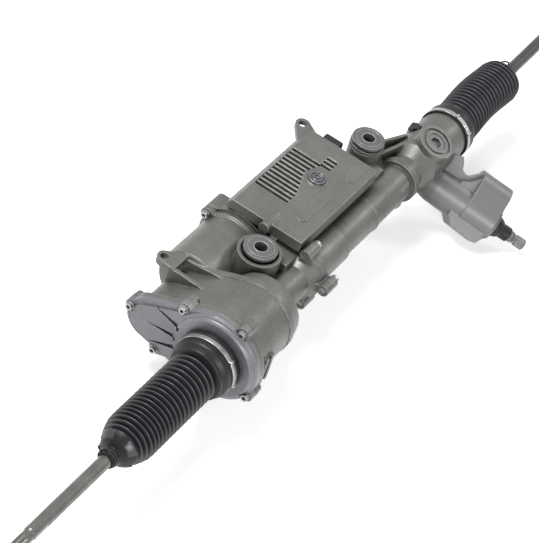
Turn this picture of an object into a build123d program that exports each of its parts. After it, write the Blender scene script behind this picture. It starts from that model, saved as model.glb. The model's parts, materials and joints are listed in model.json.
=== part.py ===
"""Electric power steering rack, built from separate pieces in millimetres.

Frame: the origin is the middle of the main mounting bush's bore, +Z runs up that bore and
+X runs along the rack from the motor's belt drive to the pinion head.
"""
from build123d import *
import math
import os

os.makedirs("parts", exist_ok=True)

# Main axes, from the main bush bore
RACK_Y = -37.6
RACK_Z = -23.0
MOTOR_Y = 46.4
MOTOR_Z = -34.0
EYE_2_X = 242.0
EYE_2_Y = 6.4

# Fits
RUN = 0.05
FACE_GAP = 0.3

# Rack
RACK_R = 14.0
TRAVEL = 75.0
RACK_X0 = -214.0
RACK_X1 = 464.0
PINION_X = 309.5
PINION_TILT = 20.0
PINION_SKEW = 18.1
MODULE = 2.0
PINION_TEETH = 8
PRESSURE = 25.0
SHIFT = 0.25
RACK_ADDENDUM = 0.95
PINION_TIP_R = 9.9
TOOTH_CLEARANCE = 0.35
BACKLASH = 0.12
PINION_TO_RACK = 17.0

# Ball joints and tie rods
BALL_R = 13.0
SEAT_R = 15.5
BALL_OFFSET = 32.0
JOINT_R = 20.0
ROD_R = 7.75
ROD_NECK_R = 6.5
ROD_THREAD_R = 6.75
ROD_LENGTH = 288.0
FLAT_START = 183.0
FLAT_LENGTH = 22.0
FLAT_ACROSS = 14.0

# Boots
FOLD_R = 29.3
VALLEY_R = 24.5
BOOT_WALL = 1.6
FOLD_START_R = 23.5
SMALL_NECK_R = 9.8
SMALL_NECK_LENGTH = 12.0
NEAR_NECK_X = -327.0
NEAR_FOLD_X0 = -300.5
NEAR_FOLD_X1 = -171.8
NEAR_FOLDS = 19
NEAR_RISE = 19.0
NEAR_SEAT_X = -140.0
NEAR_CUFF_X0 = -158.0
FAR_NECK_X = 547.0
FAR_FOLD_X0 = 405.0
FAR_FOLD_X1 = 526.0
FAR_FOLDS = 17
FAR_RISE = 6.0
FAR_SEAT_X = 373.0
FAR_CUFF_X0 = 392.0
SEAT_SLEEVE_R = 34.0
CLAMP_WIDTH = 7.0
CLAMP_THICK = 1.0
NEAR_CLAMP_X = -147.5
FAR_CLAMP_X = 378.5
CLAMP_LOCK = 165.0
NEAR_SMALL_CLAMP_X = -320.0
FAR_SMALL_CLAMP_X = 541.0
SMALL_CLAMP_EAR = 150.0

# Belt drive and gear case
COVER_FRONT_X = -134.0
COVER_BACK_X = -125.0
CASE_FLANGE = 8.0
COVER_R = 54.0
COVER_MOTOR_R = 27.0
PAD_R = 50.0
PAD_HEIGHT = 3.0
SCREW_BOSS_R = 7.0
SCREW_BOSS_LENGTH = 14.0
CHAMBER_R = 39.0
NUT_SEAT_X = -96.0
DRUM_R = 45.5
DRUM_END_X = -44.0
CASE_MOTOR_R = 19.5
CASE_WALL = 4.0
CASE_NECK_R = 21.0
CASE_BORE_R = 16.5
SEAT_SLEEVE_X = -152.0
MOTOR_RIB_Y0 = 8.0
MOTOR_RIB_Y1 = 62.0
MOTOR_RIB_WIDTH = 5.0
CASE_EAR = (-73.0, 74.5)
CASE_EAR_R = 8.2
CASE_EAR_HOLE_R = 4.7
CASE_EAR_TOP = 3.0
CASE_EAR_THICK = 9.0
TAB_X = (-103.0, -88.0)
TAB_Y = -86.0
TAB_Z = (-52.0, -14.0)
NUT_TRACK_R = 17.4
BELT_WIDTH = 18.0
BELT_THICK = 2.2
NUT_PULLEY_R = 35.0
MOTOR_PULLEY_R = 12.0
PULLEY_X = -122.0
NUT_HUB_R = 21.0
NUT_R = 24.0
NUT_END_X = -52.0
NUT_BALL_R = 1.6
NUT_BALLS = 12
NUT_LEAD = 7.0
NUT_BEARING_R = 38.0
NUT_BEARING_WIDTH = 24.0

# Motor and its sleeve in the casting
SLEEVE_R = 40.0
SLEEVE_X0 = -54.0
SLEEVE_X1 = 34.0
CAN_R = 33.0
CAN_WALL = 1.5
CAN_X0 = -50.0
STATOR_R = 20.5
ROTOR_R = 19.5
ROTOR_X0 = -32.0
ROTOR_X1 = 12.0
MOTOR_SHAFT_R = 5.0
SMALL_BEARING_R = 13.0
SMALL_BEARING_WIDTH = 9.0
STATOR_SLOTS = 12

# Main tube, joint flange and mounting eyes
TUBE_R = 22.6
TUBE_BORE_R = 18.0
JOINT_X = 46.0
JOINT_FLANGE = 9.0
JOINT_FLANGE_R = 29.0
JOINT_FLARE = 20.0
JOINT_BOSS = 13.0
JOINT_LUG_PCD_R = 35.0
JOINT_LUG_R = 7.0
JOINT_WEB = 5.0
TUBE_THICK_R = 24.6
TUBE_THICK_X = 110.0
TUBE_RIB_R = 27.5
TUBE_RIB_X0 = 256.0
TUBE_RIB_X1 = 266.0
EYE_R = 25.4
EYE_TOP = 15.0
EYE_FOOT = -56.0
BUSH_FLANGE_R = 19.7
BUSH_FLANGE = 4.0
BUSH_R = 17.5
BUSH_SEAT = -12.0
BUSH_HEIGHT = 42.0
BUSH_SLEEVE_R = 10.5
BUSH_BORE_R = 7.4
BOLT_PASS_R = 8.5
RUBBER_RECESS_R = 21.5
RUBBER_RECESS = 10.0
EYE_2_R = 20.5
EYE_2_RISE = 4.0

# Control unit
UNIT_X0 = 34.0
UNIT_X1 = 201.0
UNIT_Y0 = -30.6
UNIT_Y1 = 67.4
UNIT_TOP = 25.0
UNIT_SPLIT = 11.5
UNIT_SHELF = 5.5
UNIT_BOTTOM = -52.0
TUB_Y0 = 8.0
UNIT_WALL = 3.5
UNIT_CHAMFER = 6.0
UNIT_FLANGE = 9.0
TUB_CHAMFER = 8.0
UNIT_FLANGE_R = 45.0
UNIT_LUG = (83.8, -7.6)
UNIT_LUG_R = 7.0
FIN_PITCH = 7.15
FIN_GROOVES = 12
FIN_WIDTH = 3.8
FIN_ROOT = 3.0
FIN_ROUND = 0.9
FIN_DEPTH = 4.2
FIN_X0 = 78.5
FIN_Y0 = 15.5
FIN_Y1 = 60.0
SHORT_FINS = 3
SHORT_FIN_X0 = 160.0
SHORT_FIN_Y0 = 9.0
UNIT_BOSS = (14.2, 21.0)
VENT_X = 134.8
VENT_Y = 12.3
VENT_R = 10.5
EAR = (206.0, 76.0)
EAR_R = 9.0
EAR_HOLE_R = 5.4
POWER_PLUG = (22.0, 27.0, 51.0, -12.0, 14.0)
SIGNAL_PLUG = (18.0, 30.0, 52.0, -38.0, -18.0)
UNIT_SCREWS_X = [62.0, 104.0, 146.0, 188.0]
UNIT_SCREW_INSET = 6.0
UNIT_SCREW_R = 4.0
UNIT_SCREW_HEIGHT = 2.6
CAPACITOR_R = 9.0
CAPACITOR_HEIGHT = 25.0
CAPACITOR_PITCH = 24.0

# Pinion head, sensor tower and yoke
HEAD_R = 31.0
HEAD_X0 = 292.0
HEAD_X1 = 364.0
TUBE_STEP_X = 178.0
NECK_END_X = 386.0
NECK_R = 31.0
RACK_BUSH_LENGTH = 20.0
RACK_BUSH_INSET = 12.0
STOP_R = 22.0
STOP_THICK = 2.0
TOWER_R = 24.0
TOWER_STEM_R = 22.0
TOWER_START = 26.0
TOWER_STEP = 74.0
TOWER_END = 119.0
TOWER_COVER_END = 128.0
HORN_REACH = 48.0
HORN_R = 20.0
WEB_REACH = 31.0
WEB_FOOT = 47.0
WEB_HALF = 6.0
PAD_REACH = 32.0
SENSOR_ANGLE = -48.0
YOKE_R = 15.0
YOKE_PLUG_R = 18.5
YOKE_BOSS_R = 23.0
YOKE_BOSS_TOP = 38.0
YOKE_SHIFT = 6.0
PINION_JOURNAL_R = 7.0
PINION_BEARING_R = 17.0
PINION_FACE = 30.0
PINION_HEAD_R = 9.0
PINION_HEAD_S0 = 36.0
PINION_HEAD_S1 = 64.0
PINION_FOOT = -29.0
SPIGOT_R = 5.5
SPIGOT_START = 46.0
BAR_SEAT = 20.0
SMALL_JOURNAL_R = 5.5
NEEDLE_R = 9.0
INPUT_R = 7.0
INPUT_END = 173.0
BAR_R = 2.6
BAR_NECK_R = 2.0
BAR_NECK_S0 = 60.0
BAR_NECK_S1 = 146.0
BAR_TAPER = 6.0
BAR_END = 168.0
SENSOR_R = 19.0
DUST_BOOT_R = 9.5
DUST_BOOT_END = 150.0

# Plug and screws
HEX_PLUG = (332.5, -13.7)
HEX_PLUG_Z = -5.0
COVER_SCREW_R = 3.0
COVER_SCREW_HEAD_R = 5.2
JOINT_SCREW_R = 3.5
JOINT_SCREW_HEAD_R = 6.0

RACK = (RACK_Y, RACK_Z)
MOTOR = (MOTOR_Y, MOTOR_Z)
FAN_ANGLES = [-24.0, -7.0, 12.0]
PADS = [(62.0, 128.0, -9.0), (158.0, 194.0, -14.0)]
RIB_LINES = [(14.0, -14.0), (-6.0, -24.0)]
CASE_RIBS = [(-55.0, 5.5, -1.0), (-80.5, 1.5, 2.0)]
COVER_SCREWS = [(70.5, -28.0), (10.4, 13.0), (-60.4, 30.5), (-86.2, -47.0), (30.2, -65.5)]
JOINT_SCREW_ANGLES = [93.0, 172.0, 245.0]


# Helpers ---------------------------------------------------------------------

def spun(profile, centre=RACK):
    """Solid of revolution about the line parallel to X through centre; profile is (x, r) points."""
    return Pos(0, centre[0], centre[1]) * revolve(make_face(Polyline(*profile, close=True)), Axis.X)


def rod(x0, x1, r, centre=RACK):
    """Plain cylinder parallel to X."""
    return spun([(x0, 0), (x0, r), (x1, r), (x1, 0)], centre)


def ring(x0, x1, r_out, r_in, centre=RACK):
    """Plain ring round a line parallel to X."""
    return spun([(x0, r_in), (x0, r_out), (x1, r_out), (x1, r_in)], centre)


def slab(sketch, x0, x1):
    """Outline drawn in (y, z), extruded along X."""
    return extrude(Plane.YZ.offset(x0) * sketch, x1 - x0)


def post(sketch, z0, z1):
    """Outline drawn in (x, y), extruded along Z."""
    return extrude(Plane.XY.offset(z0) * sketch, z1 - z0)


def box(x0, x1, y0, y1, z0, z1):
    """Box between two corners."""
    return Pos((x0 + x1) / 2, (y0 + y1) / 2, (z0 + z1) / 2) * Box(x1 - x0, y1 - y0, z1 - z0)


def drop(r_rack, r_motor):
    """Outline round the rack and motor axes, joined by straight tangents."""
    ends = Sketch() + [Pos(*RACK) * Circle(r_rack), Pos(*MOTOR) * Circle(r_motor)]
    return make_hull(ends.edges())


def tangent_pair(a, ra, b, rb):
    """Outline round two circles given by centre and radius."""
    ends = Sketch() + [Pos(*a) * Circle(ra), Pos(*b) * Circle(rb)]
    return make_hull(ends.edges())


def polar(r, degrees, centre=RACK):
    """Point at r and degrees from +Y round centre, in (y, z)."""
    a = math.radians(degrees)
    return centre[0] + r * math.cos(a), centre[1] + r * math.sin(a)


def globe(x, r, way):
    """Sphere on the rack axis, its seam turned away from way."""
    return Pos(x, *RACK) * Rot(0, 0, 90 + 90 * way) * Sphere(r)


def save(name, shape):
    """Write one piece under its node name."""
    part = Compound(children=list(shape)) if isinstance(shape, (list, ShapeList)) else shape
    part.label = name
    export_step(part, f"parts/{name}.step")


# Frames of the yoke and the pinion: the yoke pushes from one side of the rack, the pinion
# meshes on the other, skewed from square by PINION_SKEW.
tilt = math.radians(PINION_TILT)
skew = math.radians(PINION_SKEW)
YOKE_DIR = Vector(0, -math.sin(tilt), math.cos(tilt))
CROSS_DIR = Vector(0, -math.cos(tilt), -math.sin(tilt))
PINION_DIR = Vector(math.sin(skew), 0, 0) + CROSS_DIR * math.cos(skew)
HEAD_CENTRE = Vector(PINION_X, RACK_Y, RACK_Z)
PINION_CENTRE = HEAD_CENTRE - YOKE_DIR * PINION_TO_RACK
PINION_PLANE = Plane(origin=PINION_CENTRE, x_dir=YOKE_DIR, z_dir=PINION_DIR)
HEAD_PLANE = Plane(origin=HEAD_CENTRE, x_dir=(1, 0, 0), z_dir=YOKE_DIR)
YOKE_PLANE = Plane(origin=HEAD_CENTRE + Vector(YOKE_SHIFT, 0, 0), x_dir=(1, 0, 0), z_dir=YOKE_DIR)


def turned(profile, plane):
    """Solid of revolution about a plane's normal; profile is (station, r) points."""
    face = make_face(Polyline(*[(r, 0, s) for s, r in profile], close=True))
    return plane.location * revolve(face, Axis.Z)


def disc(s0, s1, r, plane):
    """Plain cylinder about a plane's normal."""
    return turned([(s0, 0), (s0, r), (s1, r), (s1, 0)], plane)


def collar(s0, s1, r_out, r_in, plane):
    """Plain ring about a plane's normal."""
    return turned([(s0, r_in), (s0, r_out), (s1, r_out), (s1, r_in)], plane)


def prism(sketch, s0, s1, plane):
    """Outline in a plane, extruded along its normal."""
    return plane.location * extrude(Plane.XY.offset(s0) * sketch, s1 - s0)


# Rack, pinion and yoke -------------------------------------------------------

PITCH_R = MODULE * PINION_TEETH / 2
BASE_R = PITCH_R * math.cos(math.radians(PRESSURE))
ROOT_R = PITCH_R + (SHIFT - RACK_ADDENDUM) * MODULE - TOOTH_CLEARANCE
RACK_PITCH = math.pi * MODULE / math.cos(skew)


def half_tooth(r):
    """Half angle of a pinion tooth at radius r, on the involute of the base circle."""
    def involute(radius):
        angle = math.acos(BASE_R / radius)
        return math.tan(angle) - angle
    at_pitch = (math.pi / 2 + 2 * SHIFT * math.tan(math.radians(PRESSURE))) / PINION_TEETH
    return at_pitch + involute(PITCH_R) - involute(r)


def pinion_outline():
    """Section of the pinion: involute flanks, tip arcs and a round root."""
    def at(r, angle):
        return r * math.cos(angle), r * math.sin(angle)
    step = 2 * math.pi / PINION_TEETH
    radii = [BASE_R + (PINION_TIP_R - BASE_R) * (i / 4) ** 1.5 for i in range(5)]
    edges = []
    for tooth in range(PINION_TEETH):
        a = tooth * step
        up = [at(r, a - half_tooth(r)) for r in radii]
        down = [at(r, a + half_tooth(r)) for r in reversed(radii)]
        foot = half_tooth(BASE_R)
        edges.append(Line(at(ROOT_R, a - foot), up[0]))
        edges.append(Spline(*up))
        edges.append(ThreePointArc(up[-1], at(PINION_TIP_R, a), down[0]))
        edges.append(Spline(*down))
        edges.append(Line(down[-1], at(ROOT_R, a + foot)))
        edges.append(ThreePointArc(at(ROOT_R, a + foot), at(ROOT_R, a + step / 2), at(ROOT_R, a + step - foot)))
    return make_face(edges)


def rack_bar():
    """Round bar with a flat and oblique straight-flanked teeth that mesh with the pinion."""
    bar = rod(RACK_X0, RACK_X1, RACK_R)
    datum = PITCH_R + SHIFT * MODULE
    tip = datum - RACK_ADDENDUM * MODULE
    root = PINION_TIP_R + TOOTH_CLEARANCE
    flank = math.tan(math.radians(PRESSURE))
    half_gap = (math.pi * MODULE / 2 + BACKLASH) / 2
    open_x = tip - 1.0
    wide = half_gap + (datum - open_x) * flank
    narrow = half_gap - (root - datum) * flank
    gap = make_face(Polyline((open_x, -wide), (root, -narrow), (root, narrow), (open_x, wide), close=True))
    groove = prism(gap, -RACK_R * 1.4, RACK_R * 1.4, PINION_PLANE)
    reach = int((TRAVEL + PINION_TIP_R + 4) / RACK_PITCH)
    flat_half = (reach + 1) * RACK_PITCH
    depth = RACK_R - (PINION_TO_RACK - tip)
    flat = Pos(0, 0, -RACK_R + depth / 2 - 1) * Box(2 * flat_half, 3 * RACK_R, depth + 2)
    bar -= HEAD_PLANE.location * flat
    for k in range(-reach, reach + 1):
        bar -= Pos(k * RACK_PITCH, 0, 0) * groove
    return bar


def pinion_shaft():
    """Toothed shaft with two journals and a socket for the input shaft and torsion bar."""
    half = PINION_FACE / 2
    teeth = prism(pinion_outline(), -half, half, PINION_PLANE)
    shaft = turned([(PINION_FOOT, 0), (PINION_FOOT, SMALL_JOURNAL_R), (-half, SMALL_JOURNAL_R), (-half, 6),
                    (half, 6), (half + 2, PINION_JOURNAL_R), (PINION_HEAD_S0 - 2, PINION_JOURNAL_R),
                    (PINION_HEAD_S0, PINION_HEAD_R), (PINION_HEAD_S1, PINION_HEAD_R), (PINION_HEAD_S1, 0)],
                   PINION_PLANE)
    socket = turned([(BAR_SEAT, 0), (BAR_SEAT, BAR_R + RUN), (SPIGOT_START, BAR_R + RUN),
                     (SPIGOT_START, SPIGOT_R + RUN), (PINION_HEAD_S1 + 1, SPIGOT_R + RUN), (PINION_HEAD_S1 + 1, 0)],
                    PINION_PLANE)
    return teeth + shaft - socket


def input_shaft():
    """Shaft to the steering column: spigot, splined end left plain, clamp groove and bar bore."""
    start = SPIGOT_START + 1
    shoulder = PINION_HEAD_S1 + 2
    body = turned([(start, 0), (start, SPIGOT_R), (shoulder, SPIGOT_R), (shoulder, INPUT_R),
                   (INPUT_END - 1.5, INPUT_R), (INPUT_END, INPUT_R - 1.5), (INPUT_END, 0)], PINION_PLANE)
    clamp_groove = collar(INPUT_END - 18, INPUT_END - 13, INPUT_R + 1, INPUT_R - 1.2, PINION_PLANE)
    return body - disc(SPIGOT_START, BAR_END, BAR_R, PINION_PLANE) - clamp_groove


def torsion_bar():
    """Slim bar that joins the pinion and the input shaft."""
    foot = BAR_SEAT + 1
    return turned([(foot, 0), (foot, BAR_R), (BAR_NECK_S0, BAR_R), (BAR_NECK_S0 + BAR_TAPER, BAR_NECK_R),
                   (BAR_NECK_S1 - BAR_TAPER, BAR_NECK_R), (BAR_NECK_S1, BAR_R), (BAR_END, BAR_R), (BAR_END, 0)],
                  PINION_PLANE)


def yoke():
    """Round slipper with a saddle that carries the back of the rack."""
    body = disc(7, 27, YOKE_R, YOKE_PLANE) - rod(PINION_X - 30, PINION_X + 30, RACK_R + RUN)
    seal_groove = collar(20, 22.5, YOKE_R + 1, YOKE_R - 1.5, YOKE_PLANE)
    return body - disc(22, 28, 9, YOKE_PLANE) - seal_groove


def yoke_spring():
    """Dished spring between the yoke and its plug."""
    return turned([(22, 6), (22, 8.5), (29, 5.5), (30, 5.5), (30, 4), (29, 4)], YOKE_PLANE)


def yoke_plug():
    """Screwed plug with a recess and hexagon socket."""
    body = disc(30, YOKE_BOSS_TOP - 2, YOKE_PLUG_R, YOKE_PLANE)
    body += disc(YOKE_BOSS_TOP - 2, YOKE_BOSS_TOP - 0.5, 15, YOKE_PLANE)
    body -= disc(YOKE_BOSS_TOP - 2, YOKE_BOSS_TOP, 12, YOKE_PLANE)
    return body - prism(RegularPolygon(7.5, 6), 32, YOKE_BOSS_TOP, YOKE_PLANE)


# Rack housing ----------------------------------------------------------------

SENSOR_PLANE = Plane(PINION_PLANE.location * Location((0, 0, 0), (0, 0, SENSOR_ANGLE)))


def joint_lugs(x0, x1, hole_r):
    """Three lugs of the joint between gear case and rack housing, each a boss on a web."""
    lugs = []
    for angle in JOINT_SCREW_ANGLES:
        centre = polar(JOINT_LUG_PCD_R, angle)
        web = tangent_pair(centre, JOINT_WEB, RACK, JOINT_WEB)
        lugs.append(slab(web, x0, x1) + rod(x0, x1, JOINT_LUG_R, centre) - rod(x0 - 1, x1 + 1, hole_r, centre))
    return lugs


def eye_post(x, y, r, top):
    """Boss of a mounting eye, down to the foot face."""
    return post(Pos(x, y) * Circle(r), EYE_FOOT, top)


def eye_bore(x, y, rise):
    """Stepped bore of a mounting eye: rubber recess, bush seat, sleeve seat and bolt passage."""
    top = EYE_TOP + rise
    half = BUSH_HEIGHT / 2
    steps = [(RUBBER_RECESS_R if rise == 0 else BUSH_R, top - RUBBER_RECESS, top + 10)]
    steps.append((BUSH_R, BUSH_SEAT + rise, top))
    steps.append((BUSH_SLEEVE_R + FACE_GAP, -half + rise, top))
    steps.append((BOLT_PASS_R, EYE_FOOT - 1, top))
    return [post(Pos(x, y) * Circle(r), low, high) for r, low, high in steps]


def blade(points, half):
    """Outline drawn in (station, reach) of the sensor frame, extruded half to each side."""
    face = make_face(Polyline(*[(reach, 0, station) for station, reach in points], close=True))
    return SENSOR_PLANE.location * extrude(face, half, dir=(0, 1, 0), both=True)


def tower():
    """Outside of the torque sensor tower: round stem, oval sensor part with its horn, lower pad."""
    stem = turned([(8, 0), (8, 15), (TOWER_START, 20), (TOWER_START + 10, TOWER_STEM_R),
                   (TOWER_END, TOWER_R), (TOWER_END, 0)], PINION_PLANE)
    oval = Sketch() + [Circle(TOWER_R), Pos(HORN_REACH - HORN_R, 0) * Circle(HORN_R)]
    horn = prism(make_hull(oval.edges()), TOWER_STEP + 6, TOWER_END + 3, SENSOR_PLANE)
    pad = blade([(TOWER_STEP - 6, 0), (TOWER_STEP - 6, -TOWER_STEM_R + 1), (TOWER_STEP + 4, -PAD_REACH + 2),
                 (TOWER_END - 4, -PAD_REACH), (TOWER_END, -TOWER_R), (TOWER_END, 0)], 17)
    web = blade([(TOWER_START, 0), (TOWER_START, WEB_FOOT - 12), (TOWER_START + 14, WEB_FOOT - 2),
                 (TOWER_START + 22, WEB_FOOT), (TOWER_STEP - 22, WEB_FOOT - 6), (TOWER_STEP - 18, WEB_REACH + 2),
                 (TOWER_STEP - 12, WEB_REACH), (TOWER_STEP - 6, WEB_REACH + 1), (TOWER_STEP, WEB_REACH + 7),
                 (TOWER_STEP + 8, HORN_REACH - 1), (TOWER_STEP + 8, 0)], WEB_HALF)
    flare = blade([(TOWER_STEP - 14, 0), (TOWER_STEP - 14, TOWER_STEM_R - 1), (TOWER_STEP - 4, TOWER_R + 2),
                   (TOWER_STEP + 8, HORN_REACH - 8), (TOWER_STEP + 8, 0)], HORN_R - 5)
    return stem + horn + pad + web + flare


def rack_housing():
    """Main tube with the pinion head, sensor tower, second eye and joint flange."""
    flange_x = JOINT_X + JOINT_FLANGE
    body = spun([(JOINT_X, 0), (JOINT_X, JOINT_FLANGE_R), (flange_x, JOINT_FLANGE_R), (flange_x + 3, TUBE_THICK_R),
                 (TUBE_THICK_X, TUBE_THICK_R), (TUBE_THICK_X + 3, TUBE_R), (TUBE_STEP_X - 3, TUBE_R),
                 (TUBE_STEP_X - 2, TUBE_R + 1.2), (TUBE_STEP_X, TUBE_R + 1.2), (TUBE_STEP_X + 1, TUBE_R),
                 (TUBE_RIB_X0, TUBE_R), (TUBE_RIB_X0, TUBE_RIB_R), (TUBE_RIB_X1, TUBE_RIB_R),
                 (TUBE_RIB_X1, TUBE_R), (HEAD_X0 - 12, TUBE_R), (HEAD_X0 + 4, HEAD_R), (HEAD_X1 - 6, HEAD_R),
                 (HEAD_X1, NECK_R + 1), (HEAD_X1, NECK_R), (NECK_END_X, NECK_R), (NECK_END_X, 0)])
    body += joint_lugs(JOINT_X, flange_x, JOINT_SCREW_R)
    body += disc(0, YOKE_BOSS_TOP, YOKE_BOSS_R, YOKE_PLANE)
    body += disc(-34, 0, 17, PINION_PLANE)
    body += tower()
    eye = eye_post(EYE_2_X, EYE_2_Y, EYE_2_R, EYE_TOP + EYE_2_RISE)
    foot = tangent_pair((EYE_2_X, EYE_2_Y), EYE_2_R - 4, (EYE_2_X, RACK_Y), EYE_2_R)
    body += eye + post(foot, EYE_FOOT + 16, -8)
    for y0, y1 in RIB_LINES:
        rib = make_face(Polyline((EYE_2_X + 6, y0 - 2), (EYE_2_X + 6, y0 + 2), (HEAD_X0 + 18, y1 + 2),
                                 (HEAD_X0 + 18, y1 - 2), close=True))
        body += post(rib, -30, 2)
    web = make_face(Polyline((EYE_2_X, -14), (EYE_2_X, 20), (HEAD_X0 + 18, -12), (HEAD_X0 + 18, -26), close=True))
    body += post(web, -30, -14)
    body += box(UNIT_X1 - 50, EYE_2_X - 6, -26, TUB_Y0 - 2, -9, 1)
    body += post(Pos(*HEX_PLUG) * Circle(7.5), RACK_Z, HEX_PLUG_Z)
    cut = rod(JOINT_X - 1, NECK_END_X + 1, TUBE_BORE_R)
    cut += post(Pos(*HEX_PLUG) * Circle(8), HEX_PLUG_Z, HEX_PLUG_Z + 12)
    cut += disc(4, YOKE_BOSS_TOP + 1, YOKE_R + RUN, YOKE_PLANE)
    cut += disc(29, YOKE_BOSS_TOP + 1, YOKE_PLUG_R, YOKE_PLANE)
    cut += turned([(-29.5, 0), (-29.5, NEEDLE_R), (-16, NEEDLE_R), (-16, 11), (18, 11), (18, PINION_BEARING_R),
                   (30, PINION_BEARING_R), (34, SENSOR_R), (TOWER_END + 4, SENSOR_R), (TOWER_END + 4, 0)],
                  PINION_PLANE)
    pocket = Pos(HORN_REACH - HORN_R - 2, 0) * Rectangle(26, 22)
    cut += prism(pocket, TOWER_STEP + 12, TOWER_END + 4, SENSOR_PLANE)
    for hole in eye_bore(EYE_2_X, EYE_2_Y, EYE_2_RISE):
        cut += hole
    groove = Pos(EYE_2_X, EYE_2_Y) * (Circle(EYE_2_R + 1) - Circle(EYE_2_R - 1.2))
    return body - cut - post(groove, EYE_TOP + EYE_2_RISE - 4.5, EYE_TOP + EYE_2_RISE - 3)


# Gear case, cover and belt drive ---------------------------------------------

def cover_outline():
    """Teardrop outline of the cover and its matching flange, with a lug at each screw."""
    outline = drop(COVER_R, COVER_MOTOR_R)
    for y, z in COVER_SCREWS:
        root = (y * 0.8 + RACK_Y * 0.2, z * 0.8 + RACK_Z * 0.2)
        outline += tangent_pair((y, z), SCREW_BOSS_R, root, SCREW_BOSS_R + 3)
    return outline


def gear_case():
    """Casting round the belt drive and ball nut, with the motor sleeve and the main eye."""
    rim_x = DRUM_END_X - 8
    body = slab(cover_outline(), COVER_BACK_X, COVER_BACK_X + CASE_FLANGE)
    body += slab(drop(DRUM_R, CASE_MOTOR_R), COVER_BACK_X, rim_x + 1)
    body += slab(drop(DRUM_R + 1, CASE_MOTOR_R + 1), rim_x, DRUM_END_X)
    body += spun([(DRUM_END_X - 1, 0), (DRUM_END_X - 1, DRUM_R), (DRUM_END_X + 8, DRUM_R - 1.5),
                  (DRUM_END_X + 16, DRUM_R - 3.5), (DRUM_END_X + 18, DRUM_R - 6.5), (DRUM_END_X + 22, CASE_NECK_R + 5),
                  (DRUM_END_X + 26, CASE_NECK_R), (JOINT_X - JOINT_FLARE, CASE_NECK_R),
                  (JOINT_X - 6, JOINT_FLANGE_R), (JOINT_X, JOINT_FLANGE_R), (JOINT_X, 0)])
    body += spun([(SLEEVE_X0 - 4, 0), (SLEEVE_X0 - 4, CASE_MOTOR_R - 3), (SLEEVE_X0, SLEEVE_R - 2),
                  (SLEEVE_X0 + 2, SLEEVE_R), (SLEEVE_X1 - 8, SLEEVE_R), (SLEEVE_X1 - 6, SLEEVE_R + 2),
                  (SLEEVE_X1, SLEEVE_R + 2), (SLEEVE_X1, 0)], MOTOR)
    for x, z0, z1 in CASE_RIBS:
        rib = make_face(Polyline((MOTOR_RIB_Y0, MOTOR_Z), (MOTOR_RIB_Y0, z0), (MOTOR_RIB_Y1, z1),
                                 (MOTOR_RIB_Y1, MOTOR_Z), close=True))
        body += slab(rib, x - MOTOR_RIB_WIDTH / 2, x + MOTOR_RIB_WIDTH / 2)
    for screw in COVER_SCREWS:
        body += rod(COVER_BACK_X + 2, COVER_BACK_X + SCREW_BOSS_LENGTH, SCREW_BOSS_R - 0.6, screw)
    body += joint_lugs(JOINT_X - JOINT_BOSS, JOINT_X, JOINT_SCREW_R)
    body += eye_post(0, 0, EYE_R, EYE_TOP)
    body += box(EYE_R - 12, JOINT_X, -30, 0, -20, UNIT_SHELF - 1.5)
    corners = Sketch() + [Pos(*CASE_EAR) * Circle(CASE_EAR_R)]
    corners += [Pos(x, MOTOR_RIB_Y1 - 4) * Circle(MOTOR_RIB_WIDTH / 2) for x, _, _ in CASE_RIBS]
    body += post(make_hull(corners.edges()), CASE_EAR_TOP - CASE_EAR_THICK, CASE_EAR_TOP)
    body += slab(tangent_pair(UNIT_LUG, UNIT_LUG_R, MOTOR, 22), SLEEVE_X1 - 8, SLEEVE_X1)
    body += box(*TAB_X, TAB_Y, RACK_Y - DRUM_R / 2, *TAB_Z) - box(TAB_X[0] + 5, TAB_X[1] - 5, TAB_Y - 1, TAB_Y + 4,
                                                                 TAB_Z[0] - 1, TAB_Z[1] + 1)
    cut = slab(drop(CHAMBER_R, CASE_MOTOR_R - CASE_WALL), COVER_BACK_X - 1, NUT_SEAT_X - 4)
    cut += rod(NUT_SEAT_X - 5, NUT_SEAT_X + NUT_BEARING_WIDTH + 4, NUT_BEARING_R)
    cut += rod(NUT_SEAT_X, DRUM_END_X - 6, NUT_R + 8)
    cut += rod(NUT_SEAT_X, JOINT_X + 1, CASE_BORE_R)
    cut += rod(CAN_X0, SLEEVE_X1 + 1, CAN_R, MOTOR)
    cut += rod(COVER_BACK_X, CAN_X0 + 1, MOTOR_SHAFT_R + 2.5, MOTOR)
    cut += rod(UNIT_X0 - 20, UNIT_X0 + 1, COVER_SCREW_R, UNIT_LUG)
    cut += post(Pos(*CASE_EAR) * Circle(CASE_EAR_HOLE_R), CASE_EAR_TOP - CASE_EAR_THICK - 9, CASE_EAR_TOP + 1)
    for hole in eye_bore(0, 0, 0):
        cut += hole
    for screw in COVER_SCREWS:
        cut += rod(COVER_BACK_X - 1, COVER_BACK_X + CASE_FLANGE - 1, COVER_SCREW_R, screw)
    return body - cut


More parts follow.
